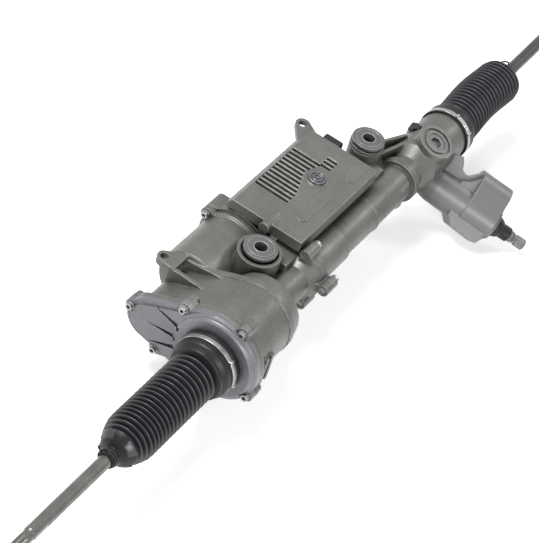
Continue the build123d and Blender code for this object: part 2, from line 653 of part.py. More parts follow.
def front_cover():
    """Cover of the belt drive with a raised round pad, ribbed wing and the boot's seat."""
    plate = slab(cover_outline(), COVER_FRONT_X + 3, COVER_BACK_X)
    wing = slab(drop(PAD_R, COVER_MOTOR_R - 6), COVER_FRONT_X + 1, COVER_BACK_X)
    pad = spun([(COVER_BACK_X, 0), (COVER_BACK_X, PAD_R + 3), (COVER_FRONT_X + 2, PAD_R + 3), (COVER_FRONT_X, PAD_R),
                (COVER_FRONT_X - PAD_HEIGHT + 2, PAD_R), (COVER_FRONT_X - PAD_HEIGHT, PAD_R - 2),
                (COVER_FRONT_X - PAD_HEIGHT, SEAT_SLEEVE_R + 3), (COVER_FRONT_X - PAD_HEIGHT - 2, SEAT_SLEEVE_R),
                (SEAT_SLEEVE_X, SEAT_SLEEVE_R), (SEAT_SLEEVE_X, 0)])
    body = plate + wing + pad
    for angle in FAN_ANGLES:
        fan = make_face(Polyline(polar(PAD_R - 4, angle - 5), polar(PAD_R + 38, angle), polar(PAD_R - 4, angle + 3),
                                 close=True))
        body -= slab(fan, COVER_FRONT_X - PAD_HEIGHT - 1, COVER_FRONT_X + 4)
    body -= rod(SEAT_SLEEVE_X - 1, COVER_FRONT_X + 1, SEAT_SLEEVE_R - 7)
    body -= rod(SEAT_SLEEVE_X, COVER_BACK_X + 1, CASE_BORE_R)
    body -= rod(COVER_BACK_X - 3, COVER_BACK_X + 1, CHAMBER_R - 3)
    body -= rod(COVER_BACK_X - 3, COVER_BACK_X + 1, CASE_MOTOR_R - CASE_WALL, MOTOR)
    for screw in COVER_SCREWS:
        body -= rod(COVER_FRONT_X - 4, COVER_BACK_X + 1, COVER_SCREW_R, screw)
        body -= rod(COVER_FRONT_X - 4, COVER_FRONT_X + 3, COVER_SCREW_HEAD_R + 1, screw)
    return body


def socket_screw(face_x, x_end, r, head_r, centre):
    """Screw parallel to X: flanged socket head that sits on face_x, and a shank to x_end."""
    way = 1 if x_end > face_x else -1
    top = face_x - way * head_r
    flange = face_x - way * 1.2
    body = spun([(top, 0), (top, head_r - 1.2), (flange, head_r - 1.2), (flange, head_r), (face_x, head_r),
                 (face_x, r), (x_end, r), (x_end, 0)], centre)
    return body - slab(Pos(*centre) * RegularPolygon((head_r - 1.2) * 0.62, 6), top, top + way * head_r * 0.6)


def cover_screws():
    """Five socket screws through the cover."""
    return [socket_screw(COVER_FRONT_X + 3, COVER_BACK_X + CASE_FLANGE - 1, COVER_SCREW_R, COVER_SCREW_HEAD_R, screw)
            for screw in COVER_SCREWS]


def joint_screws():
    """Three screws of the joint between gear case and rack housing."""
    return [socket_screw(JOINT_X + JOINT_FLANGE, JOINT_X - JOINT_FLANGE - 3, JOINT_SCREW_R, JOINT_SCREW_HEAD_R,
                         polar(JOINT_LUG_PCD_R, angle)) for angle in JOINT_SCREW_ANGLES]


def ball_nut():
    """Nut round the rack's screw, with a hub for its pulley and a track for the balls."""
    x1 = NUT_END_X
    return spun([(PULLEY_X, RACK_R + 2 * RUN), (PULLEY_X, NUT_HUB_R), (NUT_SEAT_X - 6, NUT_HUB_R),
                 (NUT_SEAT_X - 6, NUT_R + 3), (NUT_SEAT_X, NUT_R + 3), (NUT_SEAT_X, NUT_R), (x1, NUT_R),
                 (x1, RACK_R + 2 * RUN), (x1 - 8, RACK_R + 2 * RUN), (x1 - 8, NUT_TRACK_R), (NUT_SEAT_X, NUT_TRACK_R),
                 (NUT_SEAT_X, RACK_R + 2 * RUN)])


def nut_balls():
    """Balls that roll between nut and rack, set along the screw's lead."""
    balls = []
    middle = RACK_R + 2 * RUN + NUT_BALL_R
    for i in range(NUT_BALLS):
        y, z = polar(middle, i * 360 * 3 / NUT_BALLS)
        balls.append(Pos(NUT_SEAT_X + 4 + i * NUT_LEAD * 3 / NUT_BALLS, y, z) * Sphere(NUT_BALL_R))
    return balls


def flanged_pulley(x0, width, r, bore, centre):
    """Belt pulley with a rim at each side."""
    return spun([(x0, bore), (x0, r + 1.5), (x0 + 1.5, r + 1.5), (x0 + 2, r), (x0 + width - 2, r),
                 (x0 + width - 1.5, r + 1.5), (x0 + width, r + 1.5), (x0 + width, bore)], centre)


def belt():
    """Toothed belt as a plain band round both pulleys."""
    outer = drop(NUT_PULLEY_R + FACE_GAP + BELT_THICK, MOTOR_PULLEY_R + FACE_GAP + BELT_THICK)
    inner = drop(NUT_PULLEY_R + FACE_GAP, MOTOR_PULLEY_R + FACE_GAP)
    return slab(outer - inner, PULLEY_X + 2.5, PULLEY_X + BELT_WIDTH - 2.5)


def nut_bearing():
    """Angular bearing that carries the nut: one ring with a groove between its races."""
    x0 = NUT_SEAT_X + 1
    x1 = NUT_SEAT_X + NUT_BEARING_WIDTH + 1
    return spun([(x0, NUT_R + RUN), (x0, NUT_R + 5), (x0 + 1.5, NUT_R + 6), (x0, NUT_R + 7), (x0, NUT_BEARING_R),
                 (x1, NUT_BEARING_R), (x1, NUT_R + 7), (x1 - 1.5, NUT_R + 6), (x1, NUT_R + 5), (x1, NUT_R + RUN)])


def small_bearing(x0, centre, r_in):
    """Ball bearing drawn as one ring with a groove each side."""
    x1 = x0 + SMALL_BEARING_WIDTH
    a = r_in + (SMALL_BEARING_R - r_in) * 0.35
    b = r_in + (SMALL_BEARING_R - r_in) * 0.65
    return spun([(x0, r_in), (x0, a), (x0 + 1, a), (x0 + 1, b), (x0, b), (x0, SMALL_BEARING_R), (x1, SMALL_BEARING_R),
                 (x1, b), (x1 - 1, b), (x1 - 1, a), (x1, a), (x1, r_in)], centre)


# Motor -----------------------------------------------------------------------

def motor_can():
    """Steel can round the stator, with a seat for the front bearing."""
    x0 = CAN_X0
    return spun([(x0, MOTOR_SHAFT_R + 3), (x0, CAN_R), (SLEEVE_X1, CAN_R), (SLEEVE_X1, CAN_R - CAN_WALL),
                 (x0 + CAN_WALL + SMALL_BEARING_WIDTH, CAN_R - CAN_WALL),
                 (x0 + CAN_WALL + SMALL_BEARING_WIDTH, SMALL_BEARING_R), (x0 + CAN_WALL, SMALL_BEARING_R),
                 (x0 + CAN_WALL, MOTOR_SHAFT_R + 3)], MOTOR)


def stator():
    """Stator core with slots between its teeth."""
    core = ring(ROTOR_X0 - 2, ROTOR_X1 + 2, CAN_R - CAN_WALL, STATOR_R, MOTOR)
    for k in range(STATOR_SLOTS):
        angle = k * 360 / STATOR_SLOTS
        slot = slab(Pos(*polar(STATOR_R + 3.5, angle, MOTOR)) * Rot(0, 0, angle) * Rectangle(8, 2.5),
                    ROTOR_X0 - 3, ROTOR_X1 + 3)
        core -= slot
    return core


def rotor():
    """Rotor core on the motor shaft."""
    return ring(ROTOR_X0, ROTOR_X1, ROTOR_R, MOTOR_SHAFT_R, MOTOR)


def motor_shaft():
    """Motor shaft, from the belt pulley to the rear bearing."""
    return spun([(PULLEY_X, 0), (PULLEY_X, MOTOR_SHAFT_R - 1), (CAN_X0 - 4, MOTOR_SHAFT_R - 1), (CAN_X0 - 4, MOTOR_SHAFT_R),
                 (SLEEVE_X1 - 4, MOTOR_SHAFT_R), (SLEEVE_X1 - 4, 0)], MOTOR)


def rear_plate():
    """Plate that holds the motor's rear bearing."""
    x0 = SLEEVE_X1 - 4 - SMALL_BEARING_WIDTH
    return spun([(x0, SMALL_BEARING_R), (x0, CAN_R - CAN_WALL), (x0 + 3, CAN_R - CAN_WALL), (x0 + 3, SMALL_BEARING_R + 3),
                 (x0 + SMALL_BEARING_WIDTH, SMALL_BEARING_R + 3), (x0 + SMALL_BEARING_WIDTH, SMALL_BEARING_R)], MOTOR)


# Control unit ----------------------------------------------------------------

def unit_case():
    """Lower casting: motor flange, deep tub and the shelf under the cover."""
    flange = slab(Pos(*MOTOR) * Circle(UNIT_FLANGE_R) + tangent_pair(UNIT_LUG, UNIT_LUG_R, MOTOR, 22), UNIT_X0,
                  UNIT_X0 + UNIT_FLANGE)
    tub = box(UNIT_X0 + 2, UNIT_X1, TUB_Y0, UNIT_Y1, UNIT_BOTTOM, UNIT_SHELF)
    tub = chamfer(tub.edges().filter_by(Axis.X).group_by(Axis.Z)[0], TUB_CHAMFER)
    shelf = box(UNIT_X0 + 8, UNIT_X1, UNIT_Y0, UNIT_Y1, UNIT_SHELF, UNIT_SPLIT)
    boss = slab(tangent_pair(UNIT_LUG, UNIT_LUG_R, (UNIT_Y1 - 8, UNIT_LUG[1]), UNIT_LUG_R), UNIT_X0, UNIT_X0 + 26)
    body = flange + tub + shelf + boss
    body -= box(UNIT_X0 + UNIT_FLANGE + UNIT_WALL, UNIT_X1 - UNIT_WALL, TUB_Y0 + UNIT_WALL, UNIT_Y1 - UNIT_WALL,
                UNIT_BOTTOM + UNIT_WALL, UNIT_SPLIT + 1)
    body -= rod(UNIT_X0 - 1, UNIT_X0 + UNIT_FLANGE + UNIT_WALL + 1, SMALL_BEARING_R, MOTOR)
    body -= rod(UNIT_X0 - 1, UNIT_X0 + 20, COVER_SCREW_R, UNIT_LUG)
    return body


def fin_groove(x, y0, y1):
    """Cutter of one cooling groove, narrower at its root and flared at its mouth."""
    half = FIN_WIDTH / 2
    profile = make_face(Polyline((x - FIN_ROOT / 2, UNIT_TOP - FIN_DEPTH), (x - half, UNIT_TOP - 1),
                                 (x - half - FIN_ROUND, UNIT_TOP + 0.1), (x + half + FIN_ROUND, UNIT_TOP + 0.1),
                                 (x + half, UNIT_TOP - 1), (x + FIN_ROOT / 2, UNIT_TOP - FIN_DEPTH), close=True))
    return extrude(Plane.XZ.offset(-y1) * profile, y1 - y0)


def unit_cover():
    """Upper casting with cooling grooves, two raised pads, a vent seat, a boss and an ear."""
    lid = box(UNIT_X0, UNIT_X1, UNIT_Y0, UNIT_Y1, UNIT_SPLIT, UNIT_TOP)
    lid = chamfer(lid.edges().filter_by(Axis.X).sort_by(lambda edge: edge.center().Y + edge.center().Z)[-1],
                  UNIT_CHAMFER)
    lid -= box(UNIT_X0 + UNIT_WALL + 8, UNIT_X1 - UNIT_WALL, UNIT_Y0 + UNIT_WALL, UNIT_Y1 - UNIT_WALL - 3,
               UNIT_SPLIT - 1, UNIT_TOP - FIN_DEPTH - UNIT_WALL)
    arm = tangent_pair(EAR, EAR_R, (UNIT_X1 - 14, UNIT_Y1 - 12), 14)
    lid += post(arm, UNIT_TOP - 10, UNIT_TOP - 3) & box(0, 400, UNIT_Y1 - 20, 200, 0, UNIT_TOP)
    lid += rod(UNIT_X0 - 8, UNIT_X0 + 22, 6.5, UNIT_BOSS)
    for x0, x1, y in PADS:
        lid += post(Pos((x0 + x1) / 2, y) * SlotOverall(x1 - x0, 13), UNIT_TOP, UNIT_TOP + 1)
    lid += post(Pos(VENT_X, VENT_Y) * Circle(VENT_R + 2), UNIT_TOP, UNIT_TOP + 0.8)
    for k in range(FIN_GROOVES):
        x = FIN_X0 + k * FIN_PITCH
        y0 = FIN_Y0 + max(0.0, 14 - abs(x - VENT_X) * 0.35)
        lid -= fin_groove(x, y0, FIN_Y1)
    for k in range(SHORT_FINS):
        x = SHORT_FIN_X0 + k * FIN_PITCH
        lid -= fin_groove(x, SHORT_FIN_Y0, SHORT_FIN_Y0 + 14)
    lid -= post(Pos(*EAR) * Circle(EAR_HOLE_R), UNIT_TOP - 11, UNIT_TOP)
    lid -= post(Pos(VENT_X, VENT_Y) * Circle(VENT_R - 4), UNIT_TOP - 8, UNIT_TOP + 2)
    return lid


def vent_cap():
    """Push-in breather cap with a raised rim and a centre pin."""
    plug = Plane(origin=(VENT_X, VENT_Y, UNIT_TOP + 0.8), z_dir=(0, 0, 1))
    return turned([(-6, 0), (-6, VENT_R - 4), (0, VENT_R - 4), (0, VENT_R), (2, VENT_R), (2.6, VENT_R - 2),
                   (1.6, VENT_R - 3.5), (1.6, 2.4), (3, 1.8), (3, 0)], plug)


def control_board():
    """Circuit board inside the tub."""
    gap = UNIT_WALL + FACE_GAP
    return box(UNIT_X0 + 20, UNIT_X1 - gap, TUB_Y0 + gap, UNIT_Y1 - gap, 1, 2.6)


def board_parts():
    """Three capacitors and the sensor chip block under the board."""
    parts = [Pos(UNIT_X0 + 50 + k * CAPACITOR_PITCH, MOTOR_Y - 6, 1 - CAPACITOR_HEIGHT / 2)
             * Cylinder(CAPACITOR_R, CAPACITOR_HEIGHT) for k in range(3)]
    parts.append(box(UNIT_X0 + 118, UNIT_X0 + 148, MOTOR_Y - 22, MOTOR_Y + 8, -8, 1))
    return parts


def connector(x0, depth, y0, y1, z0, z1):
    """Plug housing: hollow shroud open toward +X on a solid back."""
    body = fillet(box(x0, x0 + depth, y0, y1, z0, z1).edges().filter_by(Axis.X), 2.5)
    return body - box(x0 + 5, x0 + depth + 1, y0 + 2, y1 - 2, z0 + 2, z1 - 2)


def unit_screws():
    """Screws of the control unit: a row from below through the shelf, and one in the motor flange."""
    screws = []
    for x in UNIT_SCREWS_X:
        head = Plane(origin=(x, UNIT_Y0 + UNIT_SCREW_INSET, UNIT_SHELF), z_dir=(0, 0, -1))
        screws.append(turned([(0, 0), (0, UNIT_SCREW_R), (UNIT_SCREW_HEIGHT - 0.6, UNIT_SCREW_R),
                              (UNIT_SCREW_HEIGHT, UNIT_SCREW_R - 1), (UNIT_SCREW_HEIGHT, 0)], head))
    screws.append(socket_screw(SLEEVE_X1 - 8, UNIT_X0 + 18, COVER_SCREW_R, COVER_SCREW_HEAD_R, UNIT_LUG))
    return screws


# Mounting bushes -------------------------------------------------------------

def bush_sleeve(x, y, rise):
    """Steel sleeve of a mounting bush, with its top flange."""
    half = BUSH_HEIGHT / 2
    axis = Plane(origin=(x, y, rise), z_dir=(0, 0, 1))
    return turned([(-half, BUSH_BORE_R), (-half, BUSH_SLEEVE_R), (half - BUSH_FLANGE, BUSH_SLEEVE_R),
                   (half - BUSH_FLANGE, BUSH_FLANGE_R), (half - 0.8, BUSH_FLANGE_R), (half, BUSH_FLANGE_R - 0.8),
                   (half, BUSH_BORE_R)], axis)


def bush_rubber(x, y, rise):
    """Rubber ring between a bush's sleeve and the casting."""
    axis = Plane(origin=(x, y, rise), z_dir=(0, 0, 1))
    return collar(BUSH_SEAT, BUSH_HEIGHT / 2 - BUSH_FLANGE, BUSH_R, BUSH_SLEEVE_R, axis)


# Sensor tower contents -------------------------------------------------------

def pinion_bearing():
    """Upper ball bearing of the pinion."""
    return turned([(18, PINION_JOURNAL_R + RUN), (18, 10), (19, 10.5), (19, 13.5), (18, 14), (18, PINION_BEARING_R),
                   (29, PINION_BEARING_R), (29, 14), (28, 13.5), (28, 10.5), (29, 10), (29, PINION_JOURNAL_R + RUN)],
                  PINION_PLANE)


def needle_bearing():
    """Lower needle bearing of the pinion, a closed cup."""
    return turned([(-29.5, 0), (-29.5, NEEDLE_R), (-17, NEEDLE_R), (-17, SMALL_JOURNAL_R + RUN),
                   (-29.2, SMALL_JOURNAL_R + RUN), (-29.2, 0)], PINION_PLANE)


def magnet_ring():
    """Magnet ring on the input shaft, read by the torque sensor."""
    return collar(72, 88, 12, INPUT_R, PINION_PLANE)


def flux_ring():
    """Steel ring on the pinion's head, with slots that face the magnet ring."""
    body = collar(48, 68, 14.5, 9, PINION_PLANE) - collar(64, 69, 12.5, 8, PINION_PLANE)
    for k in range(8):
        angle = math.radians(45 * k)
        tooth = Pos(12 * math.cos(angle), 12 * math.sin(angle)) * Rot(0, 0, 45 * k) * Rectangle(8, 4)
        body -= prism(tooth, 62, 69, PINION_PLANE)
    return body


def torque_sensor():
    """Fixed sensor ring and its block in the horn."""
    body = collar(70, 100, SENSOR_R, 15, PINION_PLANE)
    block = Pos(HORN_REACH - HORN_R - 2, 0) * Rectangle(24, 20)
    body += prism(block, TOWER_STEP + 13, TOWER_END - 3, SENSOR_PLANE)
    return body - disc(60, TOWER_END, 15, PINION_PLANE) - disc(104, TOWER_END, SENSOR_R, PINION_PLANE)


def tower_cap():
    """End cap of the tower, pushed in, with the seat of the input seal."""
    return turned([(104, 14.5), (104, SENSOR_R), (TOWER_END + 3, SENSOR_R), (TOWER_END + 3, TOWER_R - 2.5),
                   (TOWER_COVER_END - 2, TOWER_R - 3.5), (TOWER_COVER_END, 14), (TOWER_COVER_END, 9),
                   (110, 9), (110, 14.5)], PINION_PLANE)


def input_seal():
    """Lip seal round the input shaft."""
    return turned([(118, INPUT_R + RUN), (118, 8.6), (116, 9), (126, 9), (126, INPUT_R + RUN)], PINION_PLANE)


def dust_boot():
    """Rubber dust boot over the input shaft's seal."""
    return turned([(TOWER_COVER_END, INPUT_R + FACE_GAP), (TOWER_COVER_END, 13.5), (132, 13.5), (138, DUST_BOOT_R),
                   (DUST_BOOT_END - 1, DUST_BOOT_R), (DUST_BOOT_END, DUST_BOOT_R - 1),
                   (DUST_BOOT_END, INPUT_R + FACE_GAP)], PINION_PLANE)


# Ball joints, tie rods and boots ---------------------------------------------

def joint_housing(x_rack, way):
    """Cup screwed on the rack's end, crimped round the ball seat."""
    ball = x_rack + way * BALL_OFFSET
    outer = spun([(x_rack, 0), (x_rack, JOINT_R - 3), (x_rack + way * 4, JOINT_R), (ball + way * 4, JOINT_R),
                  (ball + way * 12, JOINT_R - 4), (ball + way * 12, 0)])
    hollow = globe(ball, SEAT_R + RUN, way)
    mouth = spun([(ball, 0), (ball + way * 20, 20 * math.tan(math.radians(54))), (ball + way * 20, 0)])
    return outer - hollow - mouth


def ball_seat(x_rack, way):
    """Plastic seat between the ball and its housing, open toward the rod."""
    ball = x_rack + way * BALL_OFFSET
    shell = globe(ball, SEAT_R, way) - globe(ball, BALL_R + RUN, way)
    mouth = spun([(ball, 0), (ball + way * 20, 20 * math.tan(math.radians(52))), (ball + way * 20, 0)])
    return shell - mouth


def tie_rod(x_rack, way):
    """Ball, neck, rod with two wrench flats and the end that takes the outer joint."""
    ball = x_rack + way * BALL_OFFSET
    flat = ball + way * FLAT_START
    end = ball + way * ROD_LENGTH
    body = spun([(ball, 0), (ball, ROD_NECK_R), (ball + way * 22, ROD_NECK_R), (ball + way * 30, ROD_R),
                 (flat + way * FLAT_LENGTH, ROD_R), (flat + way * (FLAT_LENGTH + 1.5), ROD_THREAD_R),
                 (end - way * 1.5, ROD_THREAD_R), (end, ROD_THREAD_R - 1.5), (end, 0)])
    body += globe(ball, BALL_R, way)
    low = min(flat, flat + way * FLAT_LENGTH)
    for side in (-1, 1):
        y = RACK_Y + side * (FLAT_ACROSS / 2 + 5)
        body -= box(low, low + FLAT_LENGTH, y - 5, y + 5, RACK_Z - 10, RACK_Z + 10)
    return body


def boot(neck_x, x0, x1, folds, rise, cuff_x, seat_x, seat_r):
    """Bellows from the rod to the housing: neck, cone, folds, cuff and seat, one wall thick."""
    way = 1 if seat_x > neck_x else -1
    pitch = (x1 - x0) / folds
    depth = FOLD_R - VALLEY_R
    neck_end = neck_x + way * SMALL_NECK_LENGTH
    cone = x0 - way * 2

    def crest(distance):
        """Radius of the folds' envelope at a distance from the first fold's start."""
        return FOLD_START_R + (FOLD_R - FOLD_START_R) * min(1.0, distance / rise)

    outer = [(neck_x, SMALL_NECK_R), (neck_end, SMALL_NECK_R), (neck_end + way * 4, FOLD_START_R - 6),
             (cone, FOLD_START_R - 2), (x0, FOLD_START_R - depth)]
    for k in range(folds):
        middle = pitch * (k + 0.5)
        end = pitch * (k + 1)
        outer.append((x0 + middle, crest(abs(middle))))
        outer.append((x0 + end, crest(abs(end)) - depth))
    outer += [(cuff_x, seat_r + BOOT_WALL + 0.6), (cuff_x + way * 3, seat_r + BOOT_WALL + 0.6),
              (cuff_x + way * 3, seat_r + BOOT_WALL), (seat_x, seat_r + BOOT_WALL)]
    inner = [(seat_x, seat_r), (cuff_x, seat_r), (x1 + way * 2, VALLEY_R - BOOT_WALL),
             (x0 + way * rise, VALLEY_R - BOOT_WALL), (x0, FOLD_START_R - depth - BOOT_WALL),
             (neck_end, ROD_R + FACE_GAP), (neck_x, ROD_R + FACE_GAP)]
    return spun(outer + inner)


def big_clamp(x, r):
    """Band clamp with its lock on the outside."""
    band = ring(x - CLAMP_WIDTH / 2, x + CLAMP_WIDTH / 2, r + CLAMP_THICK, r)
    y, z = polar(r + CLAMP_THICK + 1, CLAMP_LOCK)
    lock = slab(Pos(y, z) * Rot(0, 0, CLAMP_LOCK) * Rectangle(2.6, 14), x - CLAMP_WIDTH / 2, x + CLAMP_WIDTH / 2)
    return band + (lock - rod(x - CLAMP_WIDTH, x + CLAMP_WIDTH, r))


def small_clamp(x):
    """Wire clamp of two turns with a loop at its side."""
    band = ring(x - 4, x - 1, SMALL_NECK_R + 1.6, SMALL_NECK_R) + ring(x + 1, x + 4, SMALL_NECK_R + 1.6, SMALL_NECK_R)
    y, z = polar(SMALL_NECK_R + 4, SMALL_CLAMP_EAR)
    ear = slab(Pos(y, z) * Rot(0, 0, SMALL_CLAMP_EAR) * Rectangle(7, 1.6), x - 4, x + 4)
    return band + ear


def bump_stops():
    """Two rubber rings that end the rack's travel."""
    return [ring(COVER_FRONT_X + 1 - STOP_THICK, COVER_FRONT_X + 1, STOP_R, CASE_BORE_R + 0.5),
            ring(NECK_END_X, NECK_END_X + STOP_THICK, STOP_R, TUBE_BORE_R)]


def hex_plug():
    """Hexagon plug on the pinion head."""
    seat = Plane(origin=(HEX_PLUG[0], HEX_PLUG[1], HEX_PLUG_Z), z_dir=(0, 0, 1))
    return prism(RegularPolygon(6.5, 6), 1.5, 7, seat) + disc(0, 1.5, 7, seat)


# Output ----------------------------------------------------------------------

NEAR_JOINT = (RACK_X0, -1)
FAR_JOINT = (RACK_X1, 1)
MAIN_EYE = (0, 0, 0)
SECOND_EYE = (EYE_2_X, EYE_2_Y, EYE_2_RISE)

save("rack_housing", rack_housing())
save("gear_case", gear_case())
save("front_cover", front_cover())
save("cover_screws", cover_screws())
save("joint_screws", joint_screws())
save("bush_sleeve_main", bush_sleeve(*MAIN_EYE))
save("bush_sleeve_second", bush_sleeve(*SECOND_EYE))
save("bush_rubbers", [bush_rubber(*MAIN_EYE), bush_rubber(*SECOND_EYE)])
save("ball_nut", ball_nut())
save("nut_balls", nut_balls())
save("nut_pulley", flanged_pulley(PULLEY_X, BELT_WIDTH, NUT_PULLEY_R, NUT_HUB_R, RACK))
save("nut_bearing", nut_bearing())
save("belt", belt())
save("motor_pulley", flanged_pulley(PULLEY_X, BELT_WIDTH, MOTOR_PULLEY_R, MOTOR_SHAFT_R - 1, MOTOR))
save("motor_shaft", motor_shaft())
save("motor_rotor", rotor())
save("motor_stator", stator())
save("motor_can", motor_can())
save("motor_bearing_front", small_bearing(CAN_X0 + CAN_WALL, MOTOR, MOTOR_SHAFT_R + RUN))
save("motor_bearing_rear", small_bearing(SLEEVE_X1 - 4 - SMALL_BEARING_WIDTH, MOTOR, MOTOR_SHAFT_R + RUN))
save("motor_rear_plate", rear_plate())
save("control_case", unit_case())
save("control_cover", unit_cover())
save("control_board", control_board())
save("control_parts", board_parts())
save("control_screws", unit_screws())
save("vent_cap", vent_cap())
save("power_connector", connector(UNIT_X1, *POWER_PLUG))
save("signal_connector", connector(UNIT_X1, *SIGNAL_PLUG))
save("rack_bar", rack_bar())
bush_x = NECK_END_X - RACK_BUSH_INSET
save("rack_bush", ring(bush_x - RACK_BUSH_LENGTH, bush_x, TUBE_BORE_R, RACK_R + RUN))
save("bump_stops", bump_stops())
save("pinion_shaft", pinion_shaft())
save("pinion_bearing", pinion_bearing())
save("needle_bearing", needle_bearing())
save("input_shaft", input_shaft())
save("torsion_bar", torsion_bar())
save("magnet_ring", magnet_ring())
save("flux_ring", flux_ring())
save("torque_sensor", torque_sensor())
save("tower_cap", tower_cap())
save("input_seal", input_seal())
save("dust_boot", dust_boot())
save("yoke", yoke())
save("yoke_spring", yoke_spring())
save("yoke_plug", yoke_plug())
save("hex_plug", hex_plug())
for side, joint in (("near", NEAR_JOINT), ("far", FAR_JOINT)):
    save(f"joint_housing_{side}", joint_housing(*joint))
    save(f"ball_seat_{side}", ball_seat(*joint))
    save(f"tie_rod_{side}", tie_rod(*joint))
save("boot_near", boot(NEAR_NECK_X, NEAR_FOLD_X0, NEAR_FOLD_X1, NEAR_FOLDS, NEAR_RISE, NEAR_CUFF_X0, NEAR_SEAT_X,
                       SEAT_SLEEVE_R))
save("boot_far", boot(FAR_NECK_X, FAR_FOLD_X1, FAR_FOLD_X0, FAR_FOLDS, FAR_RISE, FAR_CUFF_X0, FAR_SEAT_X, NECK_R))
save("big_clamp_near", big_clamp(NEAR_CLAMP_X, SEAT_SLEEVE_R + BOOT_WALL))
save("big_clamp_far", big_clamp(FAR_CLAMP_X, NECK_R + BOOT_WALL))
save("small_clamp_near", small_clamp(NEAR_SMALL_CLAMP_X))
save("small_clamp_far", small_clamp(FAR_SMALL_CLAMP_X))
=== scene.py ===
import json
import math

import bpy
import numpy as np
from mathutils import Matrix, Vector

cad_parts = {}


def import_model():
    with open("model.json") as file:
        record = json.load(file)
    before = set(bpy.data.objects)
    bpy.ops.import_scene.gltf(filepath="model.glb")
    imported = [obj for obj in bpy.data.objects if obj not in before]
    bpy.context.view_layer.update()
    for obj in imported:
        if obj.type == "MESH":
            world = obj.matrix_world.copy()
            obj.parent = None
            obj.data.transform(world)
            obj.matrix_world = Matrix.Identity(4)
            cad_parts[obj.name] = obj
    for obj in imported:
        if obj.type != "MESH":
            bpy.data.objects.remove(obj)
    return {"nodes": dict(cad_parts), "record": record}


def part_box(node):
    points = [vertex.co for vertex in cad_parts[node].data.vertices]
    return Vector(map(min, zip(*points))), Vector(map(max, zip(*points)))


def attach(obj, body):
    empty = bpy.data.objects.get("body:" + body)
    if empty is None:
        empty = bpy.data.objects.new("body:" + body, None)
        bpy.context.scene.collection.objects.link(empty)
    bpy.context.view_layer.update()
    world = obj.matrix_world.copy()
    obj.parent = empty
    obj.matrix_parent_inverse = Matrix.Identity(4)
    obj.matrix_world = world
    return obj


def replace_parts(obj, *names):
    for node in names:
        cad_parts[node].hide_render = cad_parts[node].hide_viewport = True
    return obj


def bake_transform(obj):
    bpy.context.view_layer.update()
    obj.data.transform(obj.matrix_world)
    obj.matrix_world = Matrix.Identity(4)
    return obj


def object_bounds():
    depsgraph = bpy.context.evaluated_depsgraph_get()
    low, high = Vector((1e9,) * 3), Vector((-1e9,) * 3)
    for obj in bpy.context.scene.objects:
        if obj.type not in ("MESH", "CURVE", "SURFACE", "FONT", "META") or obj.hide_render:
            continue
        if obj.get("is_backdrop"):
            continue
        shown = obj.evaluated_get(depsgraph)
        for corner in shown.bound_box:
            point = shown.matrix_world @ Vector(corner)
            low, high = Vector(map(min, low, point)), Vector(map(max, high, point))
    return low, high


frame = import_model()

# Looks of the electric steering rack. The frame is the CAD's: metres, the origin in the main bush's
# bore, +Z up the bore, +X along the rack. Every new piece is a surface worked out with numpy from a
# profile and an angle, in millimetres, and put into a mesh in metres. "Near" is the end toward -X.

MM = 0.001
TAU = 2 * math.pi
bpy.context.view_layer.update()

# Millimetres. A point on the rack's axis, and directions: along the rack, along the pinion, toward the yoke.
RACK = np.array((0.0, -37.6, -23.0))
ALONG_X = np.array((1.0, 0.0, 0.0))
UPWARD = np.array((0.0, 0.0, 1.0))
SKEW = math.radians(18.1)
TILT = math.radians(20)
PINION_AXIS = np.array((math.sin(SKEW), -math.cos(TILT) * math.cos(SKEW), -math.sin(TILT) * math.cos(SKEW)))
YOKE_AXIS = np.array((0.0, -math.sin(TILT), math.cos(TILT)))
PINION_X = 309.5
MESH_DISTANCE = 17.0
PINION_ORIGIN = RACK + PINION_X * ALONG_X - MESH_DISTANCE * YOKE_AXIS
NEAR_BALL = -246.0
FAR_BALL = 496.0


# Meshes ----------------------------------------------------------------------

def add_mesh(name, points, faces, material, body=None, slot=None, marks=None):
    """A finished piece from points in millimetres, with an optional mark for each point, from 0 to 1."""
    mesh = bpy.data.meshes.new(name)
    mesh.from_pydata((np.asarray(points, float) * MM).tolist(), [], faces)
    mesh.polygons.foreach_set("use_smooth", np.ones(len(mesh.polygons), bool))
    if marks is not None:
        layer = mesh.attributes.new("crest", "FLOAT", "POINT")
        layer.data.foreach_set("value", np.asarray(marks, float).ravel())
    mesh.materials.append(material)
    piece = bpy.data.objects.new(name, mesh)
    bpy.context.scene.collection.objects.link(piece)
    if body:
        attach(piece, body)
    return piece


def grid_faces(rows, columns, closed_rows=False):
    """Quads of a grid whose last column joins its first, and its last row too with closed_rows."""
    i = np.arange(rows if closed_rows else rows - 1)[:, None]
    j = np.arange(columns)[None, :]
    right, below = (j + 1) % columns, (i + 1) % rows
    corners = (i * columns + j, i * columns + right, below * columns + right, below * columns + j)
    return np.stack(np.broadcast_arrays(*corners), -1).reshape(-1, 4)


def end_fans(rows, columns, middle):
    """Triangles from each end row of a grid to its middle point: number middle, and the next one."""
    j = np.arange(columns)
    k = (j + 1) % columns
    end = (rows - 1) * columns
    first = np.stack((k, j, np.full(columns, middle)), -1)
    last = np.stack((end + j, end + k, np.full(columns, middle + 1)), -1)
    return first.tolist() + last.tolist()


def directions(axis):
    """The axis and two directions square to it: over, level, and up, which with them is right-handed."""
    axis = np.asarray(axis, float) / np.linalg.norm(axis)
    over = np.cross((0.0, 0.0, 1.0) if abs(axis[2]) < 0.9 else (0.0, 1.0, 0.0), axis)
    over = over / np.linalg.norm(over)
    return axis, over, np.cross(axis, over)


